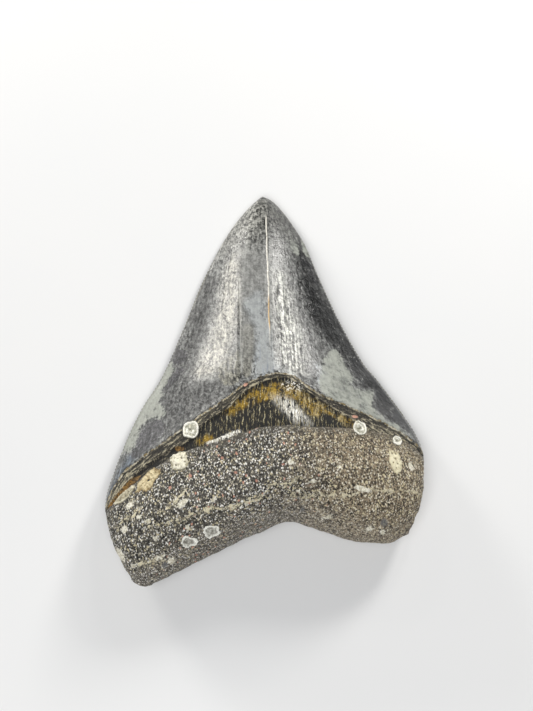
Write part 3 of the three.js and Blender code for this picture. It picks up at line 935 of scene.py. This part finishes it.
def bourlette_finish(f):
    """The bourlette: a grey-brown band under the enamel, then a dip that is ochre above and
    black below, split from top to bottom by fine pale cracks. The rolled lip, the swelling in
    the middle and the top of the arch carry a painted highlight and painted glints, and the lip
    and the swelling are glossier."""
    x, y, _ = f.axes()
    mottle = f.clouds(1.7, 5, 0.7)
    grain = f.clouds(0.6, 3, 0.65)
    down_band = f.times(f.field("enamel_gap"), 1.7)
    layers = f.clouds(1.1, 4, 0.7, at=f.point(f.times(x, 0.5), down_band, 4.0))
    strands = f.clouds(0.8, 3, 0.65, at=f.point(x, f.times(y, 0.22), 2.0))
    threads = f.clouds(0.36, 2, 0.6, at=f.point(x, f.times(y, 0.24), 9.0))
    ragged = f.less(f.sum(f.times(mottle, 0.5), f.times(strands, 0.5)), 0.5)
    flaking = f.sum(f.times(layers, 0.65), f.times(grain, 0.35))
    band = f.coat(*BAND_BROWN, f.above(flaking, 0.46, 0.56))
    pale_end = f.below(x, -40, -30)
    flaky = f.above(f.sum(layers, f.times(pale_end, 0.08)), 0.54, 0.6)
    flaky = f.times(flaky, f.above(f.sum(grain, f.times(pale_end, 0.05)), 0.44, 0.52))
    band = f.coat(band, BAND_FLAKE, f.times(flaky, 0.8))
    dip = f.coat(*DIP_BLACK, f.above(strands, 0.54, 0.7))
    flaked = f.coat(*DIP_FLAKED, f.above(flaking, 0.5, 0.6))
    dip = f.coat(dip, flaked, f.times(f.below(x, -28, -21), 0.85))
    threaded = f.times(f.above(threads, 0.58, 0.66), f.above(mottle, 0.44, 0.54))
    dip = f.coat(dip, DIP_THREAD, f.times(threaded, 0.6))
    ochre_edge = f.sum(f.field("ochre"), f.times(ragged, 7))
    tint = f.sum(f.times(mottle, 0.35), f.times(strands, 0.35), f.times(grain, 0.3))
    ochre_tone = f.coat(*OCHRE_DEEP, f.above(tint, 0.44, 0.52))
    ochre_tone = f.coat(ochre_tone, OCHRE_PALE, f.above(tint, 0.56, 0.62))
    greyed = f.times(f.above(x, 6, 12), f.above(strands, 0.48, 0.58))
    ochre_tone = f.coat(ochre_tone, OCHRE_GREY, f.times(greyed, 0.5))
    dip = f.coat(dip, ochre_tone, f.times(f.above(ochre_edge, -0.8, 1.1), 0.92))
    inner = f.below(f.sum(f.field("step_gap"), f.times(ragged, 1.4)), -0.15, 0.2)
    base = f.coat(band, dip, inner)
    rust = f.above(f.sum(f.field("rust"), f.times(ragged, 2.2)), -0.1, 0.5)
    base = f.coat(base, f.coat(*RUST_BROWN, f.above(grain, 0.4, 0.6)), f.times(rust, 0.85))

    lean = f.sum(x, f.times(f.clouds(2.6, 3, 0.6), 1.7), f.times(y, -0.04))
    off_split = f.off_splits(lean, 0.74)
    off_fine_split = f.off_splits(lean, 1.45)
    broken = f.clouds(1.2, 3, 0.6, at=f.point(f.times(x, 1.6), f.times(y, 0.45), 6.0))
    split = f.times(f.below(off_split, 0.02, 0.09), f.above(broken, 0.44, 0.52))
    fine_split = f.times(f.below(off_fine_split, 0.04, 0.2), f.above(broken, 0.5, 0.58))
    dark_split = f.times(f.below(off_fine_split, 0.08, 0.24), f.below(broken, 0.44, 0.5))
    base = f.coat(base, DARK_SPLIT, f.times(dark_split, inner, 0.75))
    sides = f.below(f.size_of(f.less(x, 2)), 16, 25)
    split = f.times(f.most(split, f.times(fine_split, 0.75)), sides, f.spread(inner, 0.2, 1))

    # Painted highlight and glints on the rolled lip, the swelling in the middle and the top of the arch,
    # broken by the cracks; the lip and the swelling are also glossier.
    rolled, swelling = f.field("rolled"), f.field("gloss_and_highlight")
    gloss_and_highlight = f.times(swelling, f.above(f.sum(strands, f.times(mottle, 0.4)), 0.56, 0.68))
    lip = f.above(f.sum(rolled, f.off_middle(grain, 1.6), f.off_middle(mottle, 0.8)), 0.5, 0.9)
    speckle = f.above(f.sum(f.times(grain, 0.6), f.times(strands, 0.4)), 0.51, 0.56)
    painted_glints = f.times(f.above(f.field("painted_glints"), 0.15, 0.6), speckle)
    unbroken = f.above(f.sum(f.times(threads, 0.6), f.times(strands, 0.4)), 0.38, 0.5)
    whole = f.above(off_fine_split, 0.03, 0.16)
    painted_shine = f.most(f.times(f.most(lip, f.times(gloss_and_highlight, whole)), unbroken), painted_glints)
    base = f.coat(base, f.coat(*HIGHLIGHT_WHITE, f.above(threads, 0.5, 0.62)), f.times(painted_shine, 0.92))
    base = f.coat(base, f.coat(*PALE_SPLIT, f.above(grain, 0.45, 0.6)), f.times(split, 0.75))
    base = f.shade(base, f.sum(0.55, f.times(grain, 0.9)))
    rough = f.sum(0.7, f.times(grain, 0.2), f.times(f.most(rolled, gloss_and_highlight), -0.5))
    height = f.sum(
        f.times(mottle, 0.16), f.times(grain, 0.04), f.times(strands, 0.16), f.times(split, -0.06),
        f.times(layers, f.less(1, inner), 0.4),
    )
    return base, rough, height


# Colours of the root: the ones in pairs are for its left and its right.
BONE_LEFT = (19, 18, 16), (104, 100, 91)
BONE_RIGHT = (44, 36, 27), (152, 137, 113)
CREAM_FLECK = (200, 193, 172), (198, 186, 156)
WARM_FLECK = (212, 200, 164)
WHITE_FLECK = (250, 248, 242), (232, 225, 206)
PORE = (12, 12, 11), (40, 34, 27)
LOW_RIM_GREY = (72, 66, 60), (176, 168, 154)
BY_BOURLETTE = (58, 55, 49), (112, 107, 96)
PINK_FLECK = (196, 136, 114), (222, 176, 152)
GROWTH_LIME = (214, 203, 168), (246, 239, 214)
GROWTH_HALO = (204, 194, 160)
LIME_CHIP = (196, 188, 162), (248, 244, 230)
PIT_BLACK = (20, 20, 20)
SLATE_CHIP = (104, 106, 108)


def root_finish(f):
    """Porous root bone: a dark ground full of small pale flecks of lime, near black on the
    left and browner and closer in tone to the right."""
    x, _, _ = f.axes()
    mottle = f.clouds(3.4, 5, 0.65)
    crumbs = f.clouds(0.7, 4, 0.7)
    dust = f.clouds(0.34, 2, 0.6)
    bed = f.jumbled(1.7, 0.5)
    ground = f.sum(f.times(crumbs, 0.7), f.times(dust, 0.3), f.off_middle(mottle, 0.3))
    ground = f.above(ground, 0.4, 0.6)
    right = f.above(f.sum(x, f.off_middle(mottle, 30)), -2, 24)
    base = f.coat(f.coat(*BONE_LEFT, ground), f.coat(*BONE_RIGHT, ground), right)
    rag = f.off_middle(f.clouds(0.42, 2, 0.6), 1.1)
    cream = f.flecks(0.52, 0.36, 0.64, f.turned(bed, 0.6, 0.7), rag)
    base = f.coat(base, f.coat(*CREAM_FLECK, right), f.times(cream, 0.9))
    warm = f.flecks(0.9, 0.33, 0.4, f.turned(bed, -0.9, 0.8), rag)
    base = f.coat(base, WARM_FLECK, f.times(warm, 0.88))
    white = f.flecks(0.52, 0.35, 0.6, f.turned(bed, 1.3, 0.66), rag)
    base = f.coat(base, f.coat(*WHITE_FLECK, right), f.times(white, 0.94))
    pores = f.flecks(0.7, 0.33, 0.5, f.turned(bed, 0.2, 0.8), rag)
    base = f.coat(base, f.coat(*PORE, right), f.times(pores, 0.85))
    low_rim = f.below(f.sum(f.field("up"), f.off_middle(mottle, 0.05)), 0.015, 0.06)
    base = f.coat(base, f.coat(*LOW_RIM_GREY, f.above(crumbs, 0.38, 0.62)), f.times(low_rim, 0.32))
    from_bourlette = f.sum(f.size_of(f.field("bourlette_gap")), f.off_middle(mottle, 3))
    by_bourlette = f.below(from_bourlette, 0.2, 2.8)
    base = f.coat(base, f.coat(*BY_BOURLETTE, crumbs), f.times(by_bourlette, 0.6))
    pink_zone = f.below(f.size_of(f.sum(x, 6)), 16, 28)
    pink = f.flecks(1.4, 0.2, 0.28, f.turned(bed, 0.4, 0.75))
    base = f.coat(base, f.coat(*PINK_FLECK, dust), f.times(pink, pink_zone, 0.85))
    wave = f.sum(f.field("growth_gap"), f.off_middle(f.clouds(0.9, 3, 0.7), 1.4))
    lime = f.above(f.sum(mottle, f.off_middle(crumbs, 1.6)), 0.32, 0.4)
    lime = f.times(f.below(wave, 0.22, 0.34), lime)
    base = f.coat(base, f.coat(*GROWTH_LIME, dust), f.times(lime, f.spread(right, 0.95, 0.7)))
    halo = f.times(f.below(wave, 0.3, 1.5), f.above(crumbs, 0.52, 0.6))
    base = f.coat(base, GROWTH_HALO, f.times(halo, 0.6))
    chip = f.above(f.sum(f.field("lime"), f.off_middle(crumbs, 1.3), f.off_middle(dust, 0.6)), -0.14, 0.04)
    base = f.coat(base, f.coat(*LIME_CHIP, f.above(crumbs, 0.4, 0.58)), f.times(chip, 0.92))
    base = f.coat(base, PIT_BLACK, f.above(f.field("pit"), -0.05, 0.2))
    slate_chip = f.above(f.sum(f.field("grey_spot"), f.off_middle(crumbs, 1.2)), -0.05, 0.3)
    base = f.coat(base, SLATE_CHIP, f.times(slate_chip, 0.7))
    base = f.shade(base, f.sum(0.8, f.times(dust, 0.4)))
    rough = f.sum(0.6, f.times(dust, 0.25))
    height = f.sum(
        f.times(f.most(cream, white), 0.1), f.times(pores, -0.14), f.times(crumbs, 0.3),
        f.times(dust, 0.08), f.times(f.most(lime, chip), 0.1),
    )
    return base, rough, height


# Colours of the lines where the three sorts of surface meet, with painted shade under the enamel's edge,
# and of the pink crust.
SHADE_UNDER_ENAMEL = (20, 18, 14)
LIP_BUFF = (140, 122, 80), (216, 210, 192)
STEP_LIME = (184, 174, 146)
CORAL_PINK = (190, 122, 102), (224, 178, 156)


def tooth_finish():
    """One finish for the whole tooth: the three sorts of surface meet along its own lines."""
    f = Finish("fossil_tooth")
    edge = f.off_middle(f.clouds(0.8, 3, 0.6), 0.8)
    enamel_gap = f.sum(f.field("enamel_gap"), edge)
    enamel_share = f.above(enamel_gap, -0.06, 0.08)
    root_share = f.below(f.sum(f.field("bourlette_gap"), f.times(edge, 1.6)), -0.2, 0.2)
    enamel, enamel_rough, enamel_height = enamel_finish(f)
    bourlette, bourlette_rough, bourlette_height = bourlette_finish(f)
    root, root_rough, root_height = root_finish(f)
    lingual = f.field("lingual")
    base = f.coat(f.coat(bourlette, root, root_share), enamel, enamel_share)
    shred = f.clouds(1.5, 4, 0.7)
    # Painted shade: a dark line just under the enamel's edge, where it steps down.
    shade_under_enamel = f.below(f.size_of(f.sum(enamel_gap, 0.7)), 0.15, 0.5)
    base = f.coat(base, SHADE_UNDER_ENAMEL, f.times(shade_under_enamel, f.less(1, enamel_share), 0.75))
    lip = f.times(f.below(f.size_of(f.sum(enamel_gap, 0.1)), 0.1, 0.3), f.above(shred, 0.42, 0.56))
    lip_tone = f.coat(*LIP_BUFF, f.above(edge, -0.06, 0.06))
    base = f.coat(base, lip_tone, f.times(lip, lingual, 0.8))
    step = f.below(f.size_of(f.sum(f.field("step_gap"), -0.25, edge)), 0.1, 0.3)
    on_bourlette = f.times(f.less(1, root_share), f.less(1, enamel_share), lingual)
    base = f.coat(base, STEP_LIME, f.times(step, f.above(shred, 0.5, 0.6), on_bourlette, 0.8))
    coral = f.above(f.sum(f.field("coral"), f.times(edge, 0.7)), -0.08, 0.16)
    base = f.coat(base, f.coat(*CORAL_PINK, shred), f.times(coral, 0.8))
    rough = f.pick(f.pick(bourlette_rough, root_rough, root_share), enamel_rough, enamel_share)
    height = f.pick(f.pick(bourlette_height, root_height, root_share), enamel_height, enamel_share)
    return f.finish(base, rough, height)


tooth.data.materials.append(tooth_finish())
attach(tooth, "root")
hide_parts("tooth")


# ---------------------------------------------------------------------------------------
# Barnacle bases. Each is the round lime plate that a barnacle leaves on what it grew on,
# cemented down all over: a rim wall and an inner ring round a thin floor, worn low.
# ---------------------------------------------------------------------------------------

BARNACLE_RIBS = 22
BARNACLE_FLOOR = 0.2
CRUST_RINGS = 26
CRUST_SPOKES = 96
BURIED = 0.25
BURIED_SHARE = 0.9
FEATHERED_SHARE = 0.07
EDGE_BELOW = 0.12
ABOVE_ALL = 60

tooth_surface = BVHTree.FromPolygons([tuple(p) for p in places], [tuple(t) for t in triangles])


def crust_on_tooth(node, shape, rise):
    """A closed plate that follows the tooth's surface, where a node lies. rise gives its
    height over the surface from the share of the way out and the place in the plate."""
    long_side, short_side, turn, squareness, ragged, seed = shape
    low, high = (np.array(corner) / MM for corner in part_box(node))
    centre_x, centre_y = ((low + high) / 2)[:2]
    turned = math.radians(turn)
    shares = np.linspace(0, 1, CRUST_RINGS + 1)[1:]
    made, relief = [], []

    def on_surface(a, b, height):
        plan_x = centre_x + a * math.cos(turned) - b * math.sin(turned)
        plan_y = centre_y + a * math.sin(turned) + b * math.cos(turned)
        from_above = Vector((plan_x, plan_y, ABOVE_ALL))
        spot, normal, _, _ = tooth_surface.ray_cast(from_above, Vector((0, 0, -1)))
        return tuple(spot + normal.lerp(Vector((0, 0, 1)), 0.5).normalized() * height)

    def outline(angle):
        square = abs(math.cos(angle)) ** squareness + abs(math.sin(angle)) ** squareness
        bulge = square ** (-1 / squareness)
        lumps = Vector((math.cos(angle) * 1.4, math.sin(angle) * 1.4, seed))
        return bulge * (1 + ragged * noise.noise(lumps) + 0.4 * ragged * noise.noise(lumps * 4))

    angles = np.linspace(0, 2 * math.pi, CRUST_SPOKES, endpoint=False)
    rims = [outline(angle) for angle in angles]
    centre_rise = rise(0, 0, 0, 0)
    made.append(on_surface(0, 0, centre_rise))
    relief.append(centre_rise)
    for share in shares:
        for angle, reach in zip(angles, rims):
            a = share * reach * math.cos(angle) * long_side / 2
            b = share * reach * math.sin(angle) * short_side / 2
            feather = 1 - max(share - 1 + FEATHERED_SHARE, 0) / FEATHERED_SHARE
            height = rise(share, angle, a, b) * feather - EDGE_BELOW * (share == 1)
            made.append(on_surface(a, b, height))
            relief.append(height)
    top = len(made)
    made.append(on_surface(0, 0, -BURIED))
    for angle, reach in zip(angles, rims):
        a = BURIED_SHARE * reach * math.cos(angle) * long_side / 2
        b = BURIED_SHARE * reach * math.sin(angle) * short_side / 2
        made.append(on_surface(a, b, -BURIED))
    relief += [0] * (len(made) - top)
    faces = []
    for spoke in range(CRUST_SPOKES):
        beside = (spoke + 1) % CRUST_SPOKES
        faces.append((0, 1 + spoke, 1 + beside))
        for ring in range(CRUST_RINGS - 1):
            inner, outer = 1 + ring * CRUST_SPOKES, 1 + (ring + 1) * CRUST_SPOKES
            faces.append((inner + spoke, outer + spoke, outer + beside))
            faces.append((inner + spoke, outer + beside, inner + beside))
        edge = 1 + (CRUST_RINGS - 1) * CRUST_SPOKES
        faces.append((edge + spoke, top + 1 + spoke, top + 1 + beside))
        faces.append((edge + spoke, top + 1 + beside, edge + beside))
        faces.append((top, top + 1 + beside, top + 1 + spoke))
    piece = make_mesh(node, np.array(made), np.array(faces))
    store(piece, "relief", relief)
    return piece


def bell(value, middle, reach):
    return math.exp(-(((value - middle) / reach) ** 2))


def barnacle_rise(seed, thick, slit_turn, slit_length):
    """The relief of a barnacle base: rim wall, off-centre inner ring, ribs, floor and slit."""
    def rise(share, angle, a, b):
        way = Vector((math.cos(angle), math.sin(angle), 0))
        place = Vector((a, b, seed))
        sway = 0.16 * noise.noise(way * 1.3 + Vector((0, 0, seed)))
        worn = 0.75 + 0.7 * noise.noise(way * 1.6 + Vector((0, 0, seed + 4)))
        ribs = 0.12 * math.cos(BARNACLE_RIBS * angle) * bell(share, 0.8, 0.2)
        wall = thick * worn * (bell(share, 0.87 + sway, 0.1) + ribs)
        broken = max(0.5 + 1.3 * noise.noise(place * 0.8), 0)
        ring = 0.75 * thick * bell(math.hypot(a + 0.1, b - 0.15), 1.0 + 4 * sway, 0.24) * broken
        grit = 0.1 * noise.noise(place * 1.8) + 0.03 * noise.noise(place * 6)
        along_slit = (a * math.cos(slit_turn) + b * math.sin(slit_turn)) / slit_length
        over_slit = (b * math.cos(slit_turn) - a * math.sin(slit_turn)) / 0.2
        slit = 0.18 * math.exp(-(along_slit**2) - over_slit**2)
        return BARNACLE_FLOOR + wall + ring + grit - slit
    return rise


CREVICE = (70, 66, 58)


def shell_finish(name, ridge, valley, grime, patch_size, gritty):
    """Lime shell: pale on its ridges, darker in its hollows, with grime in patches."""
    f = Finish(name)
    mottle = f.clouds(patch_size, 4, 0.65)
    grit = f.clouds(0.4, 3, 0.7)
    relief = f.field("relief")
    raised = f.above(f.sum(relief, f.off_middle(mottle, 0.4), f.off_middle(grit, 0.3)), 0.12, 0.42)
    base = f.coat(valley, ridge, raised)
    base = f.coat(base, grime, f.times(f.above(mottle, 0.54, 0.66), 0.6))
    deep = f.below(f.sum(relief, f.off_middle(grit, 0.06)), 0.02, 0.1)
    base = f.coat(base, CREVICE, f.times(deep, 0.85))
    base = f.shade(base, f.sum(1 - gritty / 2, f.times(grit, gritty)))
    height = f.sum(f.times(grit, 0.12), f.times(mottle, 0.08))
    return f.finish(base, f.sum(0.55, f.times(grit, 0.25)), height)


BARNACLE_TONES = (246, 244, 235), (150, 149, 132), (214, 206, 178)
barnacle_lime = shell_finish("barnacle_lime", *BARNACLE_TONES, 0.9, 0.5)
# Node, its shape (length, width, turn, squareness of the outline, how ragged it is, seed), how
# thick it is, and the turn and length of its slit.
BARNACLES = (
    ("barnacle_base_left", (5.6, 4.7, 96, 2.5, 0.1, 1.0), 0.5, -0.4, 0.6),
    ("barnacle_base_right", (4.7, 3.9, 86, 2.4, 0.08, 2.0), 0.42, 0.9, 0.55),
    ("barnacle_base_far_right", (3.3, 2.8, 75, 2.3, 0.1, 3.0), 0.36, 0.2, 0.5),
)
for node, shape, thick, slit_turn, slit_length in BARNACLES:
    turn, seed = shape[2], shape[5]
    rise = barnacle_rise(seed, thick, slit_turn - math.radians(turn), slit_length)
    base_plate = crust_on_tooth(node, shape, rise)
    base_plate.data.materials.append(barnacle_lime)
    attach(base_plate, "root")
    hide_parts(node)


# ---------------------------------------------------------------------------------------
# Crusts of coral and bryozoan. Colonies that spread over the tooth as a low lime mat, with a
# lumpy top pierced by a few pits down to the tooth.
# ---------------------------------------------------------------------------------------

# Pits of each crust: (place along it, place across it, reach) in millimetres.
LONG_PITS = (
    (-2.3, -0.5, 0.3), (-2.2, 0.6, 0.28), (-0.5, 0.1, 0.34), (0.6, -0.7, 0.22), (1.0, 0.5, 0.22),
    (2.2, -0.2, 0.2),
)
CORAL_PITS = ((-1.2, 0.9, 0.26), (0.7, -0.6, 0.22), (-0.6, -1.5, 0.18))
TAN_PITS = (
    (-0.2, -0.1, 0.4), (1.6, 0.6, 0.16), (-1.8, 0.5, 0.16), (2.6, -0.2, 0.14), (-2.8, -0.3, 0.14),
)


def mat_rise(seed, thick, lumps, holes):
    """The relief of a crust: a flat mat with a lumpy top and pits."""
    def rise(share, angle, a, b):
        place = Vector((a, b, seed))
        coarse, fine = noise.noise(place * 1.3), noise.noise(place * 3.4)
        top = thick * (1 - share**4 * 0.55) + lumps * coarse + 0.6 * lumps * fine
        for hole_a, hole_b, reach in holes:
            top -= (thick + 0.1) * math.exp(-((math.hypot(a - hole_a, b - hole_b) / reach) ** 4))
        return top
    return rise


# The colours of the ridges, the hollows and the grime of each sort of crust.
CORAL_TONES = (238, 233, 214), (160, 154, 128), (212, 202, 162)
PALE_TONES = (236, 229, 200), (190, 180, 148), (206, 196, 160)
TAN_TONES = (224, 210, 172), (148, 128, 88), (190, 168, 122)
coral_lime = shell_finish("coral_lime", *CORAL_TONES, 1.6, 0.55)
pale_bryozoan = shell_finish("pale_bryozoan", *PALE_TONES, 0.9, 0.35)
tan_bryozoan = shell_finish("tan_bryozoan", *TAN_TONES, 0.9, 0.6)
# Node, shape as for a barnacle base, how thick and how lumpy it is, its pits and its finish.
CRUSTS = (
    ("coral_crust_left", (5.8, 5.4, 92, 2.7, 0.2, 4.0), 0.4, 0.34, CORAL_PITS, coral_lime),
    ("bryozoan_crust_right", (8.3, 3.4, -82, 2.2, 0.4, 5.0), 0.36, 0.16, LONG_PITS, pale_bryozoan),
    ("bryozoan_crust_left", (9.2, 3.9, 47, 2.3, 0.46, 6.0), 0.34, 0.2, TAN_PITS, tan_bryozoan),
)
for node, shape, thick, lumps, holes, lime in CRUSTS:
    mat = crust_on_tooth(node, shape, mat_rise(shape[5], thick, lumps, holes))
    mat.data.materials.append(lime)
    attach(mat, "root")
    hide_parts(node)


# ---------------------------------------------------------------------------------------
# Oyster spat. Young oysters that settled on the root and left only the attached valve: a
# thin grey leaf of shell with growth rings and a paler, slightly raised margin.
# ---------------------------------------------------------------------------------------

GROWTH_RINGS = 5


def spat_rise(seed, thick):
    """The relief of a spat's valve: fine growth rings that step up to its margin."""
    def rise(share, angle, a, b):
        place = Vector((a, b, seed))
        turns = share * GROWTH_RINGS * 2 * math.pi
        rings = 0.05 * math.sin(turns + 1.5 * noise.noise(place))
        return thick * (0.45 + 0.75 * bell(share, 0.85, 0.16)) + rings + 0.24 * noise.noise(place * 1.5)
    return rise


GREY_TONES = (248, 247, 238), (150, 148, 138), (122, 119, 110)
CREAM_TONES = (222, 216, 194), (176, 168, 142), (200, 190, 160)
spat_grey = shell_finish("spat_grey", *GREY_TONES, 0.7, 0.9)
spat_cream = shell_finish("spat_cream", *CREAM_TONES, 1.0, 0.4)
# Node, shape as for a barnacle base, how thick it is and its finish.
SPAT = (
    ("oyster_spat_left", (6.7, 2.6, 42, 2.1, 0.5, 7.0), 0.3, spat_cream),
    ("oyster_spat_middle", (5.3, 2.7, 12, 2.1, 0.42, 8.0), 0.4, spat_grey),
    ("oyster_spat_lobe", (4.2, 2.7, 8, 2.1, 0.42, 9.0), 0.42, spat_grey),
)
for node, shape, thick, lime in SPAT:
    leaf = crust_on_tooth(node, shape, spat_rise(shape[5], thick))
    leaf.data.materials.append(lime)
    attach(leaf, "root")
    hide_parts(node)


# ---------------------------------------------------------------------------------------
# The table under the tooth and the studio round it: a plain pale sheet, a soft light from each
# side behind the tooth that runs along the blade, two small ones for the gloss of the
# bourlette, and a wide one from above.
# ---------------------------------------------------------------------------------------

TABLE_REACH = 3.0
TABLE_PALE = (225, 226, 227), (229, 229, 229)
TABLE_ROUGH = 0.55


def pale_table():
    f = Finish("pale_table")
    return f.finish(f.coat(*TABLE_PALE, f.clouds(60, 2, 0.5)), TABLE_ROUGH, 0.0)


table_mesh = bpy.data.meshes.new("table")
corners = [(x * TABLE_REACH, y * TABLE_REACH, 0) for x, y in ((-1, -1), (1, -1), (1, 1), (-1, 1))]
table_mesh.from_pydata(corners, [], [(0, 1, 2, 3)])
table = bpy.data.objects.new("table", table_mesh)
bpy.context.scene.collection.objects.link(table)
table.data.materials.append(pale_table())

BLADE_AIM = Vector((0, 0.012, 0.012))
WARM_LEFT = (1.0, 0.98, 0.93)
WARM_RIGHT = (1.0, 0.98, 0.94)
GLINT_WHITE = (1.0, 0.99, 0.96)
WHITE = (1.0, 1.0, 1.0)
# Name, turn from +Y towards +X and lean from upright in degrees, distance, sides, power, tint.
LIGHTS = (
    ("left_back_light", -44, 75, 0.6, (0.17, 0.13), 1.95, WARM_LEFT),
    ("right_back_light", 36, 62, 0.6, (0.11, 0.15), 2.05, WARM_RIGHT),
    ("left_glint_light", -26, 54, 0.6, (0.09, 0.05), 0.12, GLINT_WHITE),
    ("right_glint_light", 20, 54, 0.6, (0.07, 0.08), 0.34, GLINT_WHITE),
    ("overhead_light", -168, 30, 0.95, (0.75, 0.75), 7.5, WHITE),
)
for name, turn, lean, distance, sides, power, tint in LIGHTS:
    turned, leaned = math.radians(turn), math.radians(lean)
    level = math.sin(leaned)
    way = Vector((math.sin(turned) * level, math.cos(turned) * level, math.cos(leaned)))
    lamp = bpy.data.lights.new(name, "AREA")
    lamp.shape = "RECTANGLE"
    lamp.size, lamp.size_y = sides
    lamp.energy = power
    lamp.color = tint
    light = bpy.data.objects.new(name, lamp)
    light.location = BLADE_AIM + way * distance
    light.rotation_euler = (-way).to_track_quat("-Z", "Y").to_euler()
    bpy.context.scene.collection.objects.link(light)

SKY_TINT = (0.95, 0.97, 1.0, 1)
SKY_STRENGTH = 0.1
world = bpy.data.worlds.new("studio")
world.use_nodes = True
sky = world.node_tree.nodes["Background"]
sky.inputs["Color"].default_value = SKY_TINT
sky.inputs["Strength"].default_value = SKY_STRENGTH
bpy.context.scene.world = world
bpy.context.scene.view_settings.view_transform = "Standard"

CAMERA_ELEVATION = math.radians(70)
CAMERA_LENS = 60
CAMERA_DISTANCE = 0.35076
CAMERA_AIM = Vector((0.00032, 0.00633, 0.008))
camera = bpy.data.objects.new("camera", bpy.data.cameras.new("camera"))
camera.data.lens = CAMERA_LENS
camera.data.sensor_width = 36
back = Vector((0, -math.cos(CAMERA_ELEVATION), math.sin(CAMERA_ELEVATION)))
camera.location = CAMERA_AIM + back * CAMERA_DISTANCE
camera.rotation_euler = (-back).to_track_quat("-Z", "Y").to_euler()
camera.data.clip_start = 0.01
bpy.context.scene.collection.objects.link(camera)
bpy.context.scene.camera = camera
